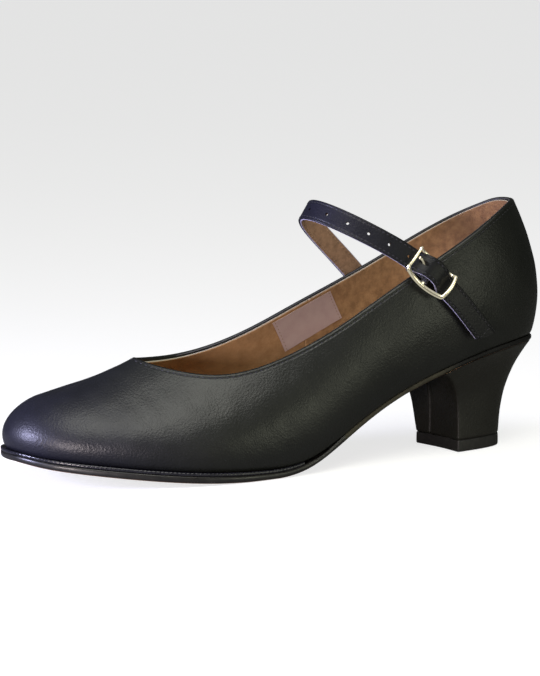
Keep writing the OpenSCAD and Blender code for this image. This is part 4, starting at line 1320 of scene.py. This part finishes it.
def tube(points, radii, sides=18, closed=False, flat=1.0, caps=3):
    """Round wire along a path in buckle coordinates, with domed ends of caps + 1 rings."""
    path = from_buckle(points)
    n = len(path)
    radii = np.broadcast_to(np.asarray(radii, float), (n,))
    if closed:
        along = unit(np.roll(path, -1, 0) - np.roll(path, 1, 0))
    else:
        along = unit(np.gradient(path, axis=0))
    across = unit(np.cross(along, BUCKLE_OUT))
    out = unit(np.cross(across, along))
    if not closed:
        angles = np.linspace(0, np.pi / 2, caps + 2)[1:]
        sines, cosines = np.sin(angles)[:, None], np.cos(angles)
        head = (path[0] - along[0] * radii[0] * sines)[::-1]
        tail = path[-1] + along[-1] * radii[-1] * sines
        path = np.concatenate([head, path, tail])
        radii = np.concatenate([np.maximum(radii[0] * cosines, 0.004)[::-1], radii,
                                np.maximum(radii[-1] * cosines, 0.004)])
        keep = np.clip(np.arange(-len(angles), n + len(angles)), 0, n - 1)
        across, out = across[keep], out[keep]
    angle = np.linspace(0, 2 * np.pi, sides, endpoint=False)[None, :, None]
    section = np.cos(angle) * across[:, None] + flat * np.sin(angle) * out[:, None]
    return skin(path[:, None] + radii[:, None, None] * section, closed)


def bar_collar(profile, segments):
    """Solid of revolution round the centre bar, from (across, radius) points."""
    angle = np.linspace(0, 2 * np.pi, segments, endpoint=False)
    rings = [np.stack([np.full(segments, x), r * np.cos(angle), BAR_Z + r * np.sin(angle)], -1)
             for x, r in profile]
    return skin(from_buckle(np.array(rings)), closed=True)


def build_buckle_frame():
    h, half_width = BUCKLE_HALF_LENGTH, BUCKLE_HALF_WIDTH

    def circle_rise(depth, y):
        """Rise of a circular arc that reaches depth at y = h."""
        r = (h * h + depth * depth) / (2 * depth)
        return r - np.sqrt(r * r - y * y)

    # closed outline: straight front bar, bowed rear bar, a near side bar that swells
    ys = np.linspace(-h, h, 90)
    xs = np.linspace(half_width, -half_width, 46)[1:-1]
    x, y = np.concatenate([
        (5.2 + 0.1 * np.abs(ys / h) ** 6, ys),
        (xs, np.full(len(xs), h)),
        (circle_rise(SWELL, ys) - half_width - SWELL, -ys),
        (-xs, -h - 0.75 * (1 - (xs / half_width) ** 2))], axis=1)
    on_end = np.abs(y) > h - 1e-6
    crown = 0.35 * np.clip(1 - (x / half_width) ** 2, 0, 1)
    z = BAR_Z + circle_rise(END_Z - BAR_Z, np.clip(y, -h, h)) + np.where(on_end, crown, 0)
    # the far side bar lies lower, under the strap
    z = np.where((x > 4.9) & ~on_end, 0.40 + (END_Z - 0.40) * np.abs(y / h) ** 8, z)
    path = smooth_loop(resample_loop(np.stack([x, y, z], -1), 300), 7)

    front = np.clip((path[:, 1] - (h - 0.8)) / 0.8, 0, 1)
    off_end = np.clip(1 - np.abs(path[:, 1]) / h, 0, 1)
    near = np.clip((-path[:, 0] - half_width + 0.8) / 0.8, 0, 1)
    far = np.clip((path[:, 0] - 4.6) / 0.4, 0, 1) * np.clip(off_end / 0.1, 0, 1)
    radii = 0.80 + 0.13 * near - 0.24 * far - 0.16 * front
    parts = [tube(path, radii, sides=20, closed=True, flat=0.76)]
    # centre bar, thinner where it dips to the far side bar
    x = np.linspace(-half_width - SWELL + 0.1, 5.0, 20)
    z = BAR_Z - 0.5 * np.clip((x - 2.5) / 2.5, 0, 1) ** 2
    parts.append(tube(np.stack([x, 0 * x, z], -1), np.interp(x, [4, 5], [0.686, 0.55])))
    # small collars at the ends of the front bar
    for side in (1, -1):
        x = np.linspace(half_width - 1.15, half_width - 0.35, 6) * side
        parts.append(tube(np.stack([x, 0 * x + h, 0 * x + END_Z + 0.03], -1),
                          [0.7, 0.84, 0.9, 0.9, 0.84, 0.7], caps=2))
    ob = add_mesh("buckle_frame_wire", *join(parts), "buckle", "buckle_metal", [BUCKLE], weld=0)
    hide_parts("buckle_frame")


def build_buckle_prong():
    """An eye round the centre bar and a tongue that ends in a small ball over the front bar."""
    w = np.linspace(0, 1, 46)
    line = np.stack([0.9 * smoothstep((w - 0.1) / 0.6), spline(PRONG_PATH[:, 0], w),
                     spline(PRONG_PATH[:, 1], w)], -1)
    radii = 0.52 - 0.04 * w + 0.22 * bell(w, 1, 0.045)
    mesh = join([bar_collar(PRONG_EYE, 28), tube(line, radii, caps=5)])
    ob = add_mesh("buckle_prong_wire", *mesh, "prong", "buckle_metal", [BUCKLE], weld=0)
    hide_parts("buckle_prong")


build_buckle_frame()
build_buckle_prong()

# ------------------------------------------------------------------ elastic tab
TAB_HALF_WIDTH, TAB_HALF_THICK = 3.8, 0.4
# side view of the band, from the centre bar to inside the shoe: along, out
TAB_PATH = np.array([[-0.9, -0.76], [2.4, -0.9], [5, -1.2], [6.7, -2.5], [7.3, -4.4],
                     [6.9, -6.4], [4.5, -7.1], [1, -6.6], [-4, -6.15], [-10, -6.25]])


def build_tab():
    w = np.linspace(0, 1, 90)
    centre = np.stack([spline(TAB_PATH[:, 0], w), spline(TAB_PATH[:, 1], w)], -1)
    along = unit(np.gradient(centre, axis=0))
    normals = np.stack([-along[:, 1], along[:, 0]], -1)
    ys = np.array([-1, -0.95, -0.86, -0.6, -0.3, 0, 0.3, 0.6, 0.86, 0.95, 1])
    to_edge = np.maximum(0, (np.abs(ys) - 0.86) / 0.14)
    zs = TAB_HALF_THICK * np.sqrt(np.maximum(0.12, 1 - to_edge ** 2))
    rings = [np.column_stack([np.full(len(w), TAB_HALF_WIDTH * y), centre + normals * z])
             for y, z in list(zip(ys, zs)) + list(zip(ys[::-1], -zs))]
    parts = [skin(from_buckle(np.stack(rings, 1)))]
    # loops round the bar on each side of the prong
    for x0, x1 in ((-5.1, -1.6), (1.6, 3.75)):
        profile = [(x0, 0.78), (x0, 1.42), (x0 + 0.12, 1.5), (x1 - 0.12, 1.5), (x1, 1.42),
                   (x1, 0.78)]
        parts.append(bar_collar(profile, 36))
    ob = add_mesh("buckle_tab_elastic", *join(parts), None, "elastic", [ELASTIC], weld=0,
                  sharp=60)
    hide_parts("buckle_tab")
    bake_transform(ob)


build_tab()

# ------------------------------------------------------------------ stage
scene = bpy.context.scene


def floor_material():
    """Pale to the camera, and dim in reflections so that the black leather stays black."""
    g = material_graph("pale_floor")
    glow = g.node("Emission", {0: (1, 1, 1), 1: 0.74})
    cloud = g.noise(scale=3, detail=2, roughness=0.5)
    pale = g.node("BsdfDiffuse", {0: g.mix(cloud, (0.42, 0.42, 0.42), (0.45, 0.45, 0.45))})
    seen = g.node("AddShader", {0: glow.outputs[0], 1: pale.outputs[0]})
    dim = g.node("BsdfDiffuse", {0: (0.22, 0.22, 0.21)})
    return g.camera_switch(seen, dim)


def build_floor():
    bm = bmesh.new()
    bmesh.ops.create_grid(bm, x_segments=8, y_segments=8, size=6.0)
    mesh = bpy.data.meshes.new("floor")
    bm.to_mesh(mesh)
    bm.free()
    floor = bpy.data.objects.new("floor", mesh)
    floor.data.materials.append(floor_material())
    floor.location = (0, 0, -0.0002)
    scene.collection.objects.link(floor)


def build_world():
    """White to the camera, faint light on everything else."""
    scene.world = bpy.data.worlds.new("world")
    g = NodeGraph(scene.world, output="OutputWorld")
    seen = g.node("Background", {0: (1, 1, 1), 1: 1.0})
    light = g.node("Background", {0: (0.95, 1.0, 0.93), 1: 0.06})
    g.camera_switch(seen, light)


def add_light(name, place, target, size, power, colour):
    light = bpy.data.lights.new(name, "AREA")
    light.shape = "RECTANGLE"
    light.size = light.size_y = size
    light.energy = power
    light.color = colour
    ob = bpy.data.objects.new(name, light)
    ob.location = place
    aim = Vector(target) - Vector(place)
    ob.rotation_euler = aim.to_track_quat("-Z", "Y").to_euler()
    scene.collection.objects.link(ob)


def build_camera():
    azimuth, elevation = math.radians(25.095), math.radians(8.788)
    distance = 1.52926
    target = Vector((0.09085, 0.0, 0.05209))
    data = bpy.data.cameras.new("camera")
    camera = bpy.data.objects.new("camera", data)
    scene.collection.objects.link(camera)
    scene.camera = camera
    backward = Vector((math.sin(azimuth) * math.cos(elevation),
                       math.cos(azimuth) * math.cos(elevation), math.sin(elevation)))
    camera.location = target + backward * distance
    camera.rotation_mode = "QUATERNION"
    camera.rotation_quaternion = (-backward).to_track_quat("-Z", "Y")
    data.sensor_width = 36
    data.sensor_fit = "AUTO"
    data.lens = 197.79071
    data.clip_start = 0.05
    data.clip_end = 50


build_floor()
build_world()
add_light("key", place=(0.16, 0.44, 0.85), target=(0.09, 0.0, 0.05), size=0.62, power=6.6,
          colour=(1.0, 1.0, 0.91))
add_light("fill", place=(-0.42, 0.70, 0.05), target=(-0.01, 0.0, 0.04), size=0.34, power=1.5,
          colour=(0.97, 1.0, 0.78))
add_light("cool_toe", place=(0.62, 0.03, 0.15), target=(0.2, 0.0, 0.02), size=0.13, power=5.0,
          colour=(0.66, 0.66, 1.0))
add_light("breast", place=(0.50, 0.44, 0.03), target=(0.015, 0.0, 0.02), size=0.12, power=2.6,
          colour=(1.0, 0.88, 0.88))
build_camera()
scene.view_settings.view_transform = "Standard"
scene.view_settings.look = "None"
scene.view_settings.exposure = 0.0
